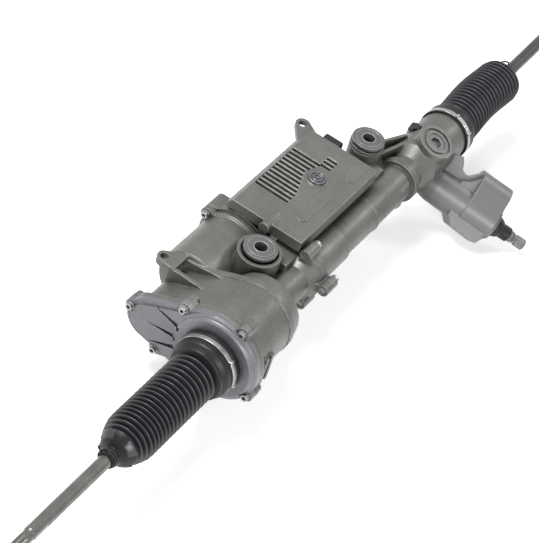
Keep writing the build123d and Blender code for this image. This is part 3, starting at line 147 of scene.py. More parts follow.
def turned(stations, radii, origin, axis, columns=64, shape=None, closed_rows=False, shift=None):
    """Surface of revolution: point = origin + s axis + r (cos a over + sin a up), plus any shift(s).

    shape(s, a, r) changes the radius round the turn. An open profile gets a middle point at each end, so
    the surface closes there; with closed_rows the profile is a loop, and the surface is a ring.
    """
    axis, over, up = directions(axis)
    s = np.repeat(np.asarray(stations, float)[:, None], columns, 1)
    r = np.repeat(np.asarray(radii, float)[:, None], columns, 1)
    a = np.repeat(np.arange(columns)[None, :] * TAU / columns, len(s), 0)
    if shape is not None:
        r = shape(s, a, r)
    outward = np.cos(a)[..., None] * over + np.sin(a)[..., None] * up
    points = origin + s[..., None] * axis + r[..., None] * outward
    if shift is not None:
        points = points + shift(s)
    points = points.reshape(-1, 3)
    faces = grid_faces(len(s), columns, closed_rows).tolist()
    if not closed_rows:
        faces += end_fans(len(s), columns, len(points))
        points = np.vstack((points, origin + s[0, 0] * axis, origin + s[-1, 0] * axis))
    return points, faces


def filled(corners, step):
    """Stations and radii of a profile through the corners, with a point at least every step along it."""
    corners = np.asarray(corners, float)
    run = np.linalg.norm(np.diff(corners, axis=0), axis=1)
    count = np.maximum(1, np.ceil(run / step).astype(int))
    start = np.repeat(np.arange(len(run)), count)
    within = (np.arange(count.sum()) - np.repeat(np.cumsum(count) - count, count)) / np.repeat(count, count)
    points = corners[start] + within[:, None] * np.diff(corners, axis=0)[start]
    points = np.vstack((points, corners[-1]))
    return points[:, 0], points[:, 1]


def softened(corners, reach):
    """A profile with each inner corner cut back by reach, or a third of its shorter run, to round it."""
    corners = np.asarray(corners, float)
    before, here, after = corners[:-2], corners[1:-1], corners[2:]
    to_before, to_after = before - here, after - here
    near, far = np.linalg.norm(to_before, axis=1), np.linalg.norm(to_after, axis=1)
    back = np.minimum(reach, np.minimum(near, far) / 3)[:, None]
    first, last = here + to_before * back / near[:, None], here + to_after * back / far[:, None]
    middle = (first + last) / 4 + here / 2
    return np.vstack((corners[:1], np.stack((first, middle, last), 1).reshape(-1, 2), corners[-1:]))


def wire(path, radius, name, material, body, slot, sides=10):
    """Round wire along an open path: point = path + radius (cos a up + sin a side).

    side is square to the path's direction and to the way out from the rack's axis, and up is square to
    side and the path. A middle point closes each end.
    """
    path = np.asarray(path, float)
    ahead = np.roll(path, -1, 0) - np.roll(path, 1, 0)
    ahead[0], ahead[-1] = path[1] - path[0], path[-1] - path[-2]
    ahead /= np.linalg.norm(ahead, axis=1)[:, None]
    out = path - RACK - (path - RACK)[:, :1] * ALONG_X
    side = np.cross(ahead, out)
    side /= np.linalg.norm(side, axis=1)[:, None]
    up = np.cross(side, ahead)
    a = np.arange(sides) * TAU / sides
    ring = np.cos(a)[None, :, None] * up[:, None] + np.sin(a)[None, :, None] * side[:, None]
    points = (path[:, None] + radius * ring).reshape(-1, 3)
    faces = grid_faces(len(path), sides).tolist() + end_fans(len(path), sides, len(points))
    return add_mesh(name, np.vstack((points, path[0], path[-1])), faces, material, body, slot)


def smooth_step(value):
    """0 below 0, 1 above 1, and 3 v squared less 2 v cubed between."""
    value = np.clip(value, 0, 1)
    return value * value * (3 - 2 * value)


# Shader groups ---------------------------------------------------------------

def new_group(name, inputs, outputs):
    """An empty node group with Object coordinates and the named numbers in, and the named outputs."""
    group = bpy.data.node_groups.new(name, "ShaderNodeTree")
    group.interface.new_socket("Vector", in_out="INPUT", socket_type="NodeSocketVector")
    for socket, value in inputs:
        made = group.interface.new_socket(socket, in_out="INPUT", socket_type="NodeSocketFloat")
        made.default_value = value
    for output in outputs:
        group.interface.new_socket(output, in_out="OUTPUT", socket_type="NodeSocketFloat")
    return group, group.nodes.new("NodeGroupInput"), group.nodes.new("NodeGroupOutput")


def noise_node(nodes, links, vector, scale, detail, rough=0.5):
    """Noise texture at a scale in features per metre."""
    node = nodes.new("ShaderNodeTexNoise")
    node.inputs["Scale"].default_value = scale
    node.inputs["Detail"].default_value = detail
    node.inputs["Roughness"].default_value = rough
    links.new(vector, node.inputs["Vector"])
    return node


def feed(links, socket, value):
    """Gives the input socket its value: a link where it is a socket, and else a number or three numbers."""
    if isinstance(value, bpy.types.NodeSocket):
        links.new(value, socket)
    elif isinstance(value, tuple):
        socket.default_value = (*value, 1)
    else:
        socket.default_value = value


def math_node(nodes, links, operation, first, second):
    """Number that the operation gives for two sockets or plain numbers."""
    node = nodes.new("ShaderNodeMath")
    node.operation = operation
    feed(links, node.inputs[0], first)
    feed(links, node.inputs[1], second)
    return node.outputs[0]


def mix_node(nodes, links, factor, first, second):
    """Number mixed from first to second by factor, each a socket or a plain number."""
    node = nodes.new("ShaderNodeMix")
    feed(links, node.inputs[0], factor)
    feed(links, node.inputs[2], first)
    feed(links, node.inputs[3], second)
    return node.outputs[0]


def spread_node(nodes, links, value, low, high):
    """Number stretched so that low becomes 0 and high becomes 1."""
    node = nodes.new("ShaderNodeMapRange")
    node.inputs["From Min"].default_value = low
    node.inputs["From Max"].default_value = high
    links.new(value, node.inputs["Value"])
    return node.outputs[0]


def cast_group():
    """Cast skin: Height is fine sand mixed with flow marks, and Tint is slow clouds with some speckle."""
    group, start, end = new_group("cast_skin", [("Sand", 0.6)], ["Height", "Tint"])
    nodes, links = group.nodes, group.links
    fine = noise_node(nodes, links, start.outputs[0], 1400, 2)
    medium = noise_node(nodes, links, start.outputs[0], 300, 3)
    slow = noise_node(nodes, links, start.outputs[0], 18, 4, 0.6)
    links.new(mix_node(nodes, links, start.outputs["Sand"], medium.outputs["Fac"], fine.outputs["Fac"]),
              end.inputs["Height"])
    cloud = mix_node(nodes, links, 0.3, slow.outputs["Fac"], medium.outputs["Fac"])
    links.new(spread_node(nodes, links, cloud, 0.36, 0.64), end.inputs["Tint"])
    return group


def brushed_group():
    """Turned metal: Height is noise stretched along X into draw lines, and Tint mixes it with clouds."""
    group, start, end = new_group("drawn_lines", [("Cloud", 0.6)], ["Height", "Tint"])
    nodes, links = group.nodes, group.links
    stretch = nodes.new("ShaderNodeMapping")
    stretch.inputs["Scale"].default_value = (0.05, 1.0, 1.0)
    links.new(start.outputs[0], stretch.inputs["Vector"])
    lines = noise_node(nodes, links, stretch.outputs[0], 2000, 2)
    slow = noise_node(nodes, links, start.outputs[0], 70, 3)
    links.new(lines.outputs["Fac"], end.inputs["Height"])
    blend = mix_node(nodes, links, start.outputs["Cloud"], lines.outputs["Fac"], slow.outputs["Fac"])
    links.new(spread_node(nodes, links, blend, 0.35, 0.65), end.inputs["Tint"])
    return group


def edge_group():
    """Worn edges: Wear is how far the rounded normal leaves the true one, broken up by noise."""
    group, start, end = new_group("rubbed_edges", [("Reach", 0.001)], ["Wear"])
    nodes, links = group.nodes, group.links
    rounded = nodes.new("ShaderNodeBevel")
    rounded.samples = 4
    links.new(start.outputs["Reach"], rounded.inputs["Radius"])
    true = nodes.new("ShaderNodeNewGeometry")
    gap = nodes.new("ShaderNodeVectorMath")
    gap.operation = "DISTANCE"
    links.new(rounded.outputs[0], gap.inputs[0])
    links.new(true.outputs["Normal"], gap.inputs[1])
    rubbed = spread_node(nodes, links, gap.outputs["Value"], 0.12, 0.5)
    patches = noise_node(nodes, links, start.outputs[0], 90, 3)
    patches = spread_node(nodes, links, patches.outputs["Fac"], 0.3, 0.6)
    links.new(math_node(nodes, links, "MULTIPLY", rubbed, patches), end.inputs["Wear"])
    return group


def corner_shade_group():
    """Painted shade in corners: how shut the sky within 9 mm is, times noise that breaks it up, times Depth.
    """
    group, start, end = new_group("painted_corner_shade", [("Depth", 0.7)], ["Grime"])
    nodes, links = group.nodes, group.links
    sky = nodes.new("ShaderNodeAmbientOcclusion")
    sky.samples = 6
    sky.inputs["Distance"].default_value = 0.009
    shut = spread_node(nodes, links, sky.outputs["AO"], 0.92, 0.25)
    patches = noise_node(nodes, links, start.outputs[0], 160, 3)
    patches = spread_node(nodes, links, patches.outputs["Fac"], 0.1, 0.6)
    broken = math_node(nodes, links, "MULTIPLY", shut, patches)
    links.new(math_node(nodes, links, "MULTIPLY", broken, start.outputs["Depth"]), end.inputs["Grime"])
    return group


CAST = cast_group()
DRAWN = brushed_group()
RUBBED = edge_group()
CORNER_SHADE = corner_shade_group()


# Materials -------------------------------------------------------------------

# In metres, but for the colour and the roughness.
ZONE_Y = (-0.062, -0.088)
# Colour of the painted shade in corners.
CORNER_SHADE_COLOUR = (0.012, 0.012, 0.012)
BUMP_HEIGHT = 0.0004
CREST_ROUGHNESS = 0.34


def range_node(nodes, links, value, low, high):
    """Number stretched so that 0 becomes low and 1 becomes high."""
    node = nodes.new("ShaderNodeMapRange")
    node.inputs["To Min"].default_value = low
    node.inputs["To Max"].default_value = high
    links.new(value, node.inputs["Value"])
    return node.outputs[0]


def group_node(nodes, links, group, place, setting=None, value=0.0):
    """Node of a shader group at a place, with the number called setting set to value."""
    node = nodes.new("ShaderNodeGroup")
    node.node_tree = group
    if setting:
        node.inputs[setting].default_value = value
    links.new(place, node.inputs[0])
    return node


def tinted(nodes, links, factor, first, second):
    """Colour mixed from first to second by factor; a colour is a socket or three numbers."""
    mix = nodes.new("ShaderNodeMix")
    mix.data_type = "RGBA"
    links.new(factor, mix.inputs[0])
    feed(links, mix.inputs[6], first)
    feed(links, mix.inputs[7], second)
    return mix.outputs[2]


def surface(name, dark, light, metallic, rough, group=CAST, bump=0.1, bevel=0.0, specular=0.5, worn=None,
            crest=None, painted_shade=0.0, sheen=0.0, zone=None):
    """Principled material: colour between dark and light by the group's tint, bump by its height.

    bevel rounds edges for the light, by that radius in metres. worn is the colour of rubbed edges, and
    crest the colour that the piece's own crest mark leads to: a painted highlight on the crests, which
    leaves the valleys in painted shade. painted_shade is how dark the corners are painted in shade. sheen is
    the coat that the crests have and the valleys lack. zone is the colour that takes over along ZONE_Y,
    from the rack toward the tower.
    """
    material = bpy.data.materials.new(name)
    material.use_nodes = True
    nodes, links = material.node_tree.nodes, material.node_tree.links
    shader = nodes["Principled BSDF"]
    shader.inputs["Metallic"].default_value = metallic
    shader.inputs["Specular IOR Level"].default_value = specular
    place = nodes.new("ShaderNodeTexCoord").outputs["Object"]
    skin = group_node(nodes, links, group, place)
    colour = tinted(nodes, links, skin.outputs["Tint"], dark, light)
    if zone:
        parts = nodes.new("ShaderNodeSeparateXYZ")
        links.new(place, parts.inputs[0])
        colour = tinted(nodes, links, spread_node(nodes, links, parts.outputs["Y"], *ZONE_Y), colour, zone)
    if worn:
        edges = group_node(nodes, links, RUBBED, place, "Reach", bevel)
        colour = tinted(nodes, links, edges.outputs["Wear"], colour, worn)
    # Painted highlight: the crest mark lightens crests toward the crest colour, leaving the valleys darker as
    # painted shade; the coat that goes with it is a real gloss layer.
    if crest:
        mark = nodes.new("ShaderNodeAttribute")
        mark.attribute_name = "crest"
        colour = tinted(nodes, links, mark.outputs["Fac"], colour, crest)
        links.new(range_node(nodes, links, mark.outputs["Fac"], 0.0, sheen), shader.inputs["Coat Weight"])
        shader.inputs["Coat Roughness"].default_value = CREST_ROUGHNESS
    # Painted shade: corners that the sky barely reaches are darkened toward the shade colour.
    if painted_shade:
        corners = group_node(nodes, links, CORNER_SHADE, place, "Depth", painted_shade)
        colour = tinted(nodes, links, corners.outputs["Grime"], colour, CORNER_SHADE_COLOUR)
    links.new(colour, shader.inputs["Base Color"])
    polish = range_node(nodes, links, skin.outputs["Tint"], rough + 0.05, rough - 0.05)
    links.new(polish, shader.inputs["Roughness"])
    relief = nodes.new("ShaderNodeBump")
    relief.inputs["Strength"].default_value = bump
    relief.inputs["Distance"].default_value = BUMP_HEIGHT
    links.new(skin.outputs["Height"], relief.inputs["Height"])
    if bevel:
        round_edge = nodes.new("ShaderNodeBevel")
        round_edge.samples = 6
        round_edge.inputs["Radius"].default_value = bevel
        links.new(round_edge.outputs[0], relief.inputs["Normal"])
    links.new(relief.outputs[0], shader.inputs["Normal"])
    return material


# The corner numbers in these looks set how dark each material's painted corner shade is.
CAST_LOOK = dict(dark=(0.098, 0.096, 0.089), light=(0.150, 0.148, 0.139), metallic=0.4, rough=0.42, bump=0.3,
                 bevel=0.0018, worn=(0.27, 0.27, 0.26), painted_shade=0.75)
MATERIALS = {
    "cast_aluminium": surface("cast_aluminium", **CAST_LOOK),
    "cover_aluminium": surface("cover_aluminium", (0.125, 0.130, 0.139), (0.182, 0.187, 0.198), 0.4, 0.38,
                               bump=0.22, bevel=0.0014, worn=(0.32, 0.32, 0.33), painted_shade=0.75),
    "bright_steel": surface("bright_steel", (0.27, 0.27, 0.26), (0.46, 0.46, 0.45), 0.8, 0.33, DRAWN, 0.12,
                            0.0004, painted_shade=0.5),
    "bush_steel": surface("bush_steel", (0.10, 0.10, 0.097), (0.16, 0.16, 0.157), 0.5, 0.40, bump=0.15,
                          bevel=0.0008, worn=(0.34, 0.34, 0.33), painted_shade=0.75),
    "machined_steel": surface("machined_steel", (0.20, 0.20, 0.195), (0.32, 0.32, 0.31), 0.7, 0.3, DRAWN,
                              0.12, 0.0004, painted_shade=0.6),
    "rod_steel": surface("rod_steel", (0.100, 0.098, 0.092), (0.165, 0.162, 0.154), 0.6, 0.26, DRAWN, 0.14,
                         painted_shade=0.5),
    "dark_steel": surface("dark_steel", (0.020, 0.020, 0.022), (0.040, 0.040, 0.042), 0.5, 0.38, DRAWN, 0.2,
                          0.0004, painted_shade=0.5),
    "core_steel": surface("core_steel", (0.18, 0.18, 0.20), (0.26, 0.26, 0.28), 0.9, 0.5, DRAWN, 0.1),
    "rubber": surface("rubber", (0.006, 0.006, 0.007), (0.012, 0.012, 0.014), 0.0, 0.46, bump=0.14,
                      specular=0.3),
    "black_plastic": surface("black_plastic", (0.010, 0.010, 0.011), (0.018, 0.018, 0.019), 0.0, 0.38,
                             bump=0.08, bevel=0.0006, specular=0.35, worn=(0.045, 0.045, 0.047)),
    "bearing_plastic": surface("bearing_plastic", (0.55, 0.53, 0.47), (0.66, 0.64, 0.57), 0.0, 0.45,
                               bump=0.05),
    "board": surface("board", (0.02, 0.09, 0.04), (0.03, 0.12, 0.06), 0.0, 0.4, bump=0.05),
}
HOUSING_CAST = surface("housing_cast", **CAST_LOOK, zone=(0.152, 0.153, 0.158))
# The boot's rubber is painted lighter on its crests, neck, cuff and pads than in its valleys: painted
# highlight and painted shade.
BOOT_RUBBER = surface("boot_rubber", (0.001, 0.001, 0.002), (0.004, 0.004, 0.005), 0.0, 0.46, bump=0.16,
                      specular=0.16, crest=(0.030, 0.029, 0.034), sheen=0.75)
SHAFT_STEEL = surface("shaft_steel", (0.110, 0.110, 0.107), (0.190, 0.190, 0.185), 0.6, 0.3, DRAWN, 0.12,
                      painted_shade=0.7)
VENT_METAL = surface("vent_metal", (0.085, 0.087, 0.092), (0.165, 0.168, 0.175), 0.6, 0.3, bump=0.12,
                     worn=(0.42, 0.42, 0.43), bevel=0.0005, painted_shade=0.95)
FAR_ROD_STEEL = surface("far_rod_steel", (0.045, 0.045, 0.047), (0.078, 0.078, 0.080), 0.5, 0.34, DRAWN, 0.2)
LIP_STEEL = surface("lip_steel", (0.22, 0.22, 0.215), (0.34, 0.34, 0.33), 0.7, 0.3, DRAWN, 0.12, 0.0003,
                    painted_shade=0.9)

for part in frame["record"]["subparts"]:
    node = frame["nodes"][part["node"]]
    node.data.materials.clear()
    look = HOUSING_CAST if part["node"] == "rack_housing" else MATERIALS[part["material_slot"]]
    node.data.materials.append(look)


# Bellows boots ---------------------------------------------------------------

# Stations along the rack: the ends of each boot, and the cuts between its three pieces.
NEAR_END, NEAR_NECK_CUT, NEAR_TURN_CUT, NEAR_CUFF_END = -327.0, -276.0, -250.0, -137.6
FAR_CUFF_END, FAR_TURN_CUT, FAR_NECK_CUT, FAR_END = 373.0, 484.0, 518.0, 547.0
BOOT_WALL = 1.6
FOLD_ROWS = 12
FOLD_START_R = 23.5
FOLD_CREST_R = 29.3
FOLD_DEPTH = 7.4
FOLD_SHARPNESS = 1.3
# How much of the crests' painted highlight the neck and the cuff take.
NECK_MARK = 0.22
CUFF_MARK = 0.35
PAD_ANGLES = (48, 138, 228, 318)
PAD_MIDDLE = -308.2


def fold_profile(x0, x1, folds, first_pitch, rise):
    """Stations, radii and crest marks of a run of folds from the small end at x0 to the large end at x1.

    Fold number k starts at x0 + first_pitch k + c k squared, with c so that the last one ends at x1.
    Mark = ((1 - cos of the place in the fold) / 2) to the power FOLD_SHARPNESS, and radius = crest less
    depth times (1 - mark). The crest rises from FOLD_START_R to FOLD_CREST_R over the length rise.
    """
    way = 1.0 if x1 > x0 else -1.0
    length = abs(x1 - x0)
    k = np.arange(folds * FOLD_ROWS + 1) / FOLD_ROWS
    bend = (length - first_pitch * folds) / folds ** 2
    s = first_pitch * k + bend * k * k
    wave = ((1 - np.cos(TAU * k)) / 2) ** FOLD_SHARPNESS
    crest = FOLD_START_R + (FOLD_CREST_R - FOLD_START_R) * smooth_step(0.25 + 0.75 * s / rise)
    return x0 + way * s, crest - FOLD_DEPTH + FOLD_DEPTH * wave, wave


def boot_profile(cone, folds, cuff):
    """Outer profile from the neck to the cuff: stations, radii and crest marks, in order of station.

    cone and cuff are corners that are softened; folds is what fold_profile returns.
    """
    neck_s, neck_r = filled(softened(cone, 2.0), 1.0)
    cuff_s, cuff_r = filled(softened(cuff, 0.9), 1.2)
    s = np.concatenate((neck_s, folds[0], cuff_s))
    r = np.concatenate((neck_r, folds[1], cuff_r))
    mark = np.concatenate((np.full(len(neck_s), NECK_MARK), folds[2], np.full(len(cuff_s), CUFF_MARK)))
    way = 1 if s[-1] > s[0] else -1
    return s[::way], r[::way], mark[::way]


def boot_piece(name, profile, low, high, bore, columns, shape=None, shift=None,
               pads=None):
    """Part of a boot between stations low and high: outer wall, cut ends and inner wall as one closed ring.

    The inner wall lies BOOT_WALL inside the outer one, but never nearer to the axis than bore(s).
    pads(s, a, 0) marks the raised pads.
    """
    s, r, mark = profile
    keep = (s > low + 0.05) & (s < high - 0.05)
    stations = np.concatenate(((low,), s[keep], (high,)))
    radii = np.interp(stations, s, r)
    marks = np.interp(stations, s, mark)
    inside = stations[::-2]
    if inside[-1] != stations[0]:
        inside = np.append(inside, stations[0])
    inner = np.maximum(np.interp(inside, stations, radii) - BOOT_WALL, bore(inside))
    loop_s = np.concatenate((stations, inside))
    loop_r = np.concatenate((radii, inner))
    wall = np.concatenate((np.ones(len(stations)), np.zeros(len(inside))))

    def radius(station, angle, value):
        """The given shape on the outer wall only."""
        return np.where(wall[:, None] > 0, shape(station, angle, value), value)

    points, faces = turned(loop_s, loop_r, RACK, ALONG_X, columns, radius if shape else None, True, shift)
    full = np.repeat(np.concatenate((marks, np.zeros(len(inside))))[:, None], columns, 1)
    # The raised pads take nearly all of the crests' painted highlight.
    if pads is not None:
        angle = np.broadcast_to(np.arange(columns)[None, :] * TAU / columns, full.shape)
        station = np.broadcast_to(loop_s[:, None], full.shape)
        full = np.maximum(full, wall[:, None] * pads(station, angle, 0.0))
    piece = add_mesh(name, points, faces, BOOT_RUBBER, slot="rubber", marks=full)
    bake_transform(piece)
    return piece


def cone_pads(reach, proud):
    """Shape that raises pads on the cone by proud.

    A pad lies within reach of PAD_MIDDLE along the axis and 22 degrees of one of PAD_ANGLES round it.
    """
    def shape(s, a, r):
        """Radius plus proud where both distances are inside, with soft edges."""
        along = smooth_step((reach - np.abs(s - PAD_MIDDLE)) / 0.7)
        turn = [np.abs((a - math.radians(angle) + math.pi) % TAU - math.pi) for angle in PAD_ANGLES]
        across = smooth_step((math.radians(22) - np.min(turn, axis=0)) / math.radians(2.4))
        return r + proud * along * across
    return shape


def bow(x0, x1, amount):
    """Shift of a boot's middle line: amount times the sine squared of the way along, toward +Y and up."""
    def shift(s):
        """Points' shift at stations s."""
        along = np.clip((s - x0) / (x1 - x0), 0, 1)
        return (amount * np.sin(np.pi * along) ** 2)[..., None] * np.array((0.0, 0.94, 0.34))
    return shift


def near_bore(s):
    """Bore of the near boot: the rod's neck fit at the small end, opening over the cone."""
    return np.interp(s, (-315.0, -309.0, -300.0, -160.0, -158.0), (8.05, 14.0, 18.0, 21.0, 34.0))


def far_bore(s):
    """Bore of the far boot: the seat's fit at the large end, and the rod's at the small one."""
    return np.interp(s, (392.0, 396.0, 526.0, 532.0, 537.0), (31.0, 21.0, 18.0, 14.0, 8.05))


NEAR_BOOT = boot_profile(
    [(NEAR_END, 9.8), (-315.5, 9.8), (-314.4, 12.2), (-311.8, 16.6), (-307.4, 20.4), (-303.4, 22.5),
     (-301.3, 22.6), (-300.6, 17.6)],
    fold_profile(-300.5, -170.5, 19, 5.75, 19),
    [(-170.4, 22.4), (-167.5, 32.4), (-165, 33.0), (-163.2, 31.6), (-160, 35.0), (-158, 36.1), (-152.6, 36.1),
     (-152.2, 35.6), (-143.9, 35.6), (-143.5, 37.3), (NEAR_CUFF_END, 37.3)])
FAR_BOOT = boot_profile(
    [(FAR_END, 9.8), (535.5, 9.8), (534, 12), (531.5, 18), (528.5, 21.6), (526.5, 21.6), (526.2, 18.0)],
    fold_profile(526, 404, 17, 7.1, 6),
    [(403.9, 22.4), (401.5, 29.6), (399, 30.0), (397, 28.6), (394, 32.0), (392, 33.1), (383.4, 33.1),
     (383, 32.6), (374.6, 32.6), (374.2, 33.1), (FAR_CUFF_END, 33.1)])
FAR_BOW = bow(396.0, 532.0, 3.2)

near_rack = boot_piece("boot_near_folds", NEAR_BOOT, NEAR_TURN_CUT, NEAR_CUFF_END, near_bore, 96)
boot_piece("boot_near_turn", NEAR_BOOT, NEAR_NECK_CUT, NEAR_TURN_CUT, near_bore, 96)
boot_piece("boot_near_neck", NEAR_BOOT, NEAR_END, NEAR_NECK_CUT, near_bore, 192,
           cone_pads(4.4, 1.6), pads=cone_pads(4.0, 0.95))
far_rack = boot_piece("boot_far_folds", FAR_BOOT, FAR_CUFF_END, FAR_TURN_CUT, far_bore, 96,
                      shift=FAR_BOW)
boot_piece("boot_far_turn", FAR_BOOT, FAR_TURN_CUT, FAR_NECK_CUT, far_bore, 96,
           shift=FAR_BOW)
boot_piece("boot_far_neck", FAR_BOOT, FAR_NECK_CUT, FAR_END, far_bore, 96,
           shift=FAR_BOW)
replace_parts(near_rack, "boot_near")
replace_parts(far_rack, "boot_far")


# Tie rods --------------------------------------------------------------------

# Radii, and distances from the ball's middle outward along the rod.
BALL_R = 13.0
ROD_NECK_R = 6.5
SHANK_R = 7.75
THREAD_R = 6.75
THREAD_PITCH = 1.5
THREAD_DEPTH = 0.55
FLAT_HALF = 7.0
NECK_END = 22.0
TAPER_END = 30.0
FLATS = (183.0, 205.0)
THREAD = (214.0, 286.0)
SHANK_END = 181.0
SHANK_STEP = 204.5
THREAD_SHANK = 206.5
ROD_END = 288.0


def rod_shape(flats, thread):
    """Radius of a tie rod: two wrench flats at right angles to Y, and a thread.

    On the flats the radius is at most FLAT_HALF over the cosine of the angle from Y, easing out over 1.2
    at each end. On the thread it dips by THREAD_DEPTH times a triangle wave of (station / pitch - angle /
    turn).
    """
    def shape(s, a, r):
        """The changed radius at station s and angle a."""
        reach = smooth_step(np.minimum(s - flats[0], flats[1] - s) / 1.2)
        cut = np.minimum(r, FLAT_HALF / np.maximum(np.abs(np.cos(a)), 0.5))
        place = (s / THREAD_PITCH - a / TAU) % 1.0
        dip = THREAD_DEPTH * np.abs(2 * place - 1)
        threaded = smooth_step(np.minimum(s - thread[0], thread[1] - s) / 1.5)
        return r + (cut - r) * reach - dip * threaded
    return shape


def tie_rod(name, ball, way, material, body):
    """Ball, neck, taper, shank, flats and threaded end along one profile, from the ball outward.

    The ball is radius sin a at station -cos a, with a from its pole to where it meets the neck.
    """
    turn = np.linspace(0.02, math.pi - math.asin(ROD_NECK_R / BALL_R), 28)
    ball_s, ball_r = -BALL_R * np.cos(turn), BALL_R * np.sin(turn)
    corners = [(ball_s[-1] + 0.2, ROD_NECK_R), (NECK_END, ROD_NECK_R), (TAPER_END, SHANK_R),
               (SHANK_STEP, SHANK_R), (THREAD_SHANK, THREAD_R)]
    neck_s, neck_r = filled(softened(corners, 1.5), 2.5)
    flat_s = np.arange(SHANK_END, 208.0, 0.4)
    flat_s = flat_s[flat_s < THREAD_SHANK]
    thread_s = np.arange(THREAD_SHANK, THREAD[1], THREAD_PITCH / 8)
    shank = neck_s < SHANK_END
    s = np.concatenate((ball_s, neck_s[shank], flat_s, thread_s, (THREAD[1] + 0.5, ROD_END)))
    r = np.concatenate((ball_r, neck_r[shank], np.interp(flat_s, neck_s, neck_r),
                        np.full(len(thread_s), THREAD_R), (6.6, 5.25)))
    x = ball + way * s
    if way < 0:
        x, r = x[::-1], r[::-1]
    shape = rod_shape(*(sorted((ball + way * near, ball + way * far)) for near, far in (FLATS, THREAD)))
    points, faces = turned(x, r, RACK, ALONG_X, 48, shape)
    return add_mesh(name, points, faces, material, body, "rod_steel" if way < 0 else "dark_steel")


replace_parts(tie_rod("rod_near_shape", NEAR_BALL, -1, MATERIALS["rod_steel"], "rod_near"), "tie_rod_near")
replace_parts(tie_rod("rod_far_shape", FAR_BALL, 1, FAR_ROD_STEEL, "rod_far"), "tie_rod_far")


# Clamps ----------------------------------------------------------------------

WIRE_R = 1.05
WIRE_RING_R = 10.3
WIRE_PITCH = 3.0
EYE_REACH = 5.8
EYE_HALF_WIDTH = 5.4
EYE_ANGLE = 56.0
BAND_HALF = 3.1


def ring_point(x, r, degrees):
    """Points at station x and radius r, degrees from +Y toward +Z round the rack's axis."""
    a = np.radians(degrees)
    return np.stack(np.broadcast_arrays(x + 0 * a, RACK[1] + r * np.cos(a), RACK[2] + r * np.sin(a)), -1)


def wire_clamp(name, x, way, body):
    """Two turns of wire with one square eye near its first end.

    Radius = WIRE_RING_R plus EYE_REACH times a steep bump at the eye's angle. The station goes WIRE_PITCH
    along for each turn.
    """
    turn = np.linspace(-0.35, 1.75, 641)
    across = np.radians(np.abs(turn) * 360.0) * 12.0
    lift = smooth_step((EYE_HALF_WIDTH - across) / 1.3)
    path = ring_point(x + way * WIRE_PITCH * turn, WIRE_RING_R + EYE_REACH * lift, EYE_ANGLE + turn * 360.0)
    return wire(path, WIRE_R, name, MATERIALS["dark_steel"], body, "dark_steel")


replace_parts(wire_clamp("wire_clamp_near", -324.2, 1, "rod_near"), "small_clamp_near")
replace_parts(wire_clamp("wire_clamp_far", 544.2, -1, "rod_far"), "small_clamp_far")


def clamp_band(name, x, r, lock0, lock1):
    """Steel band with its overlap and crimped lock.

    The section is a rounded rectangle that goes once round. Over the lock's angles, lock0 to lock1, its
    outer side rises by a strap, a ladder of low bumps and a hook at each end.
    """
    half = BAND_HALF
    side = np.array((-half, -half, -half + 0.2, -half + 0.9, 0.0, half - 0.9, half - 0.2, half, half,
                     half - 0.1, -half + 0.1))
    height = np.array((0.25, 0.75, 1.0, 1.0, 1.05, 1.0, 1.0, 0.75, 0.25, 0.0, 0.0))

    def hook(distance):
        """A soft bump where the distance, in degrees, is small."""
        return smooth_step((2.6 - np.abs(distance)) / 1.3)

    def shape(s, a, value):
        """Radius of the band at each angle; only the outer side of the section takes the lock."""
        degrees = np.degrees(a)
        inside = smooth_step(np.minimum(degrees - lock0, lock1 - degrees) / 1.2)
        ladder = 0.7 * np.abs(np.sin(np.radians((degrees - lock0) * 26.0)))
        hooks = hook(degrees - lock0 - 4.0) + hook(degrees - lock1 + 4.0)
        outer = smooth_step((value - r - 0.3) / 0.4)
        inner = smooth_step((half - 0.1 - np.abs(s - x)) / 0.5)
        return value + outer * inside * (0.7 + inner * ladder + 1.5 * hooks)

    points, faces = turned(x + side, r + height, RACK, ALONG_X, 720, shape, True)
    return add_mesh(name, points, faces, MATERIALS["bright_steel"], "housing", "bright_steel")


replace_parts(clamp_band("band_near", -147.5, 35.6, 133.0, 188.0), "big_clamp_near")
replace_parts(clamp_band("band_far", 378.5, 32.6, 98.0, 150.0), "big_clamp_far")


# Vent cap --------------------------------------------------------------------

VENT_PLACE = np.array((134.8, 12.3, 25.8))
vent_profile = filled(softened([(0, 10.4), (1.5, 10.4), (2.3, 9.7), (2.3, 8.4), (0.9, 8.0), (0.9, 6.4),
                                (2.2, 6.0), (2.5, 4.4), (1.0, 4.0), (1.0, 2.3), (2.8, 1.8), (3.0, 0.5)], 0.3),
                      0.5)
vent = add_mesh("vent_rings", *turned(*vent_profile, VENT_PLACE, UPWARD, 64), VENT_METAL, "housing",
                "cover_aluminium")
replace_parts(vent, "vent_cap")


# Bush lips -------------------------------------------------------------------

MAIN_BORE = (0.0, 0.0)
SECOND_BORE = (242.0, 6.4)
LIP_RINGS = (("bore", 7.4, 9.0), ("rim", 14.6, 15.6))
LIP_HEIGHT = 0.5
LIP_SINK = 0.4


def bush_lip(name, sleeve, x, y):
    """Pressed lips on the top of a bush's sleeve: low round rings, one at the bore and one at the rim.

    Each is a closed loop, a rounded bar turned about the bore; the face between them stays bare.
    """
    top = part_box(sleeve)[1][2] / MM
    for part, inner, outer in LIP_RINGS:
        s, r = filled(softened([(-LIP_SINK, inner), (-LIP_SINK, outer), (LIP_HEIGHT, outer),
                                (LIP_HEIGHT, inner), (-LIP_SINK, inner)], 0.3), 0.4)
        points, faces = turned(s[:-1], r[:-1], np.array((x, y, top)), UPWARD, 72, closed_rows=True)
        add_mesh(name + "_" + part, points, faces, LIP_STEEL, "housing", "bush_steel")


bush_lip("bush_lip_main", "bush_sleeve_main", *MAIN_BORE)
bush_lip("bush_lip_second", "bush_sleeve_second", *SECOND_BORE)


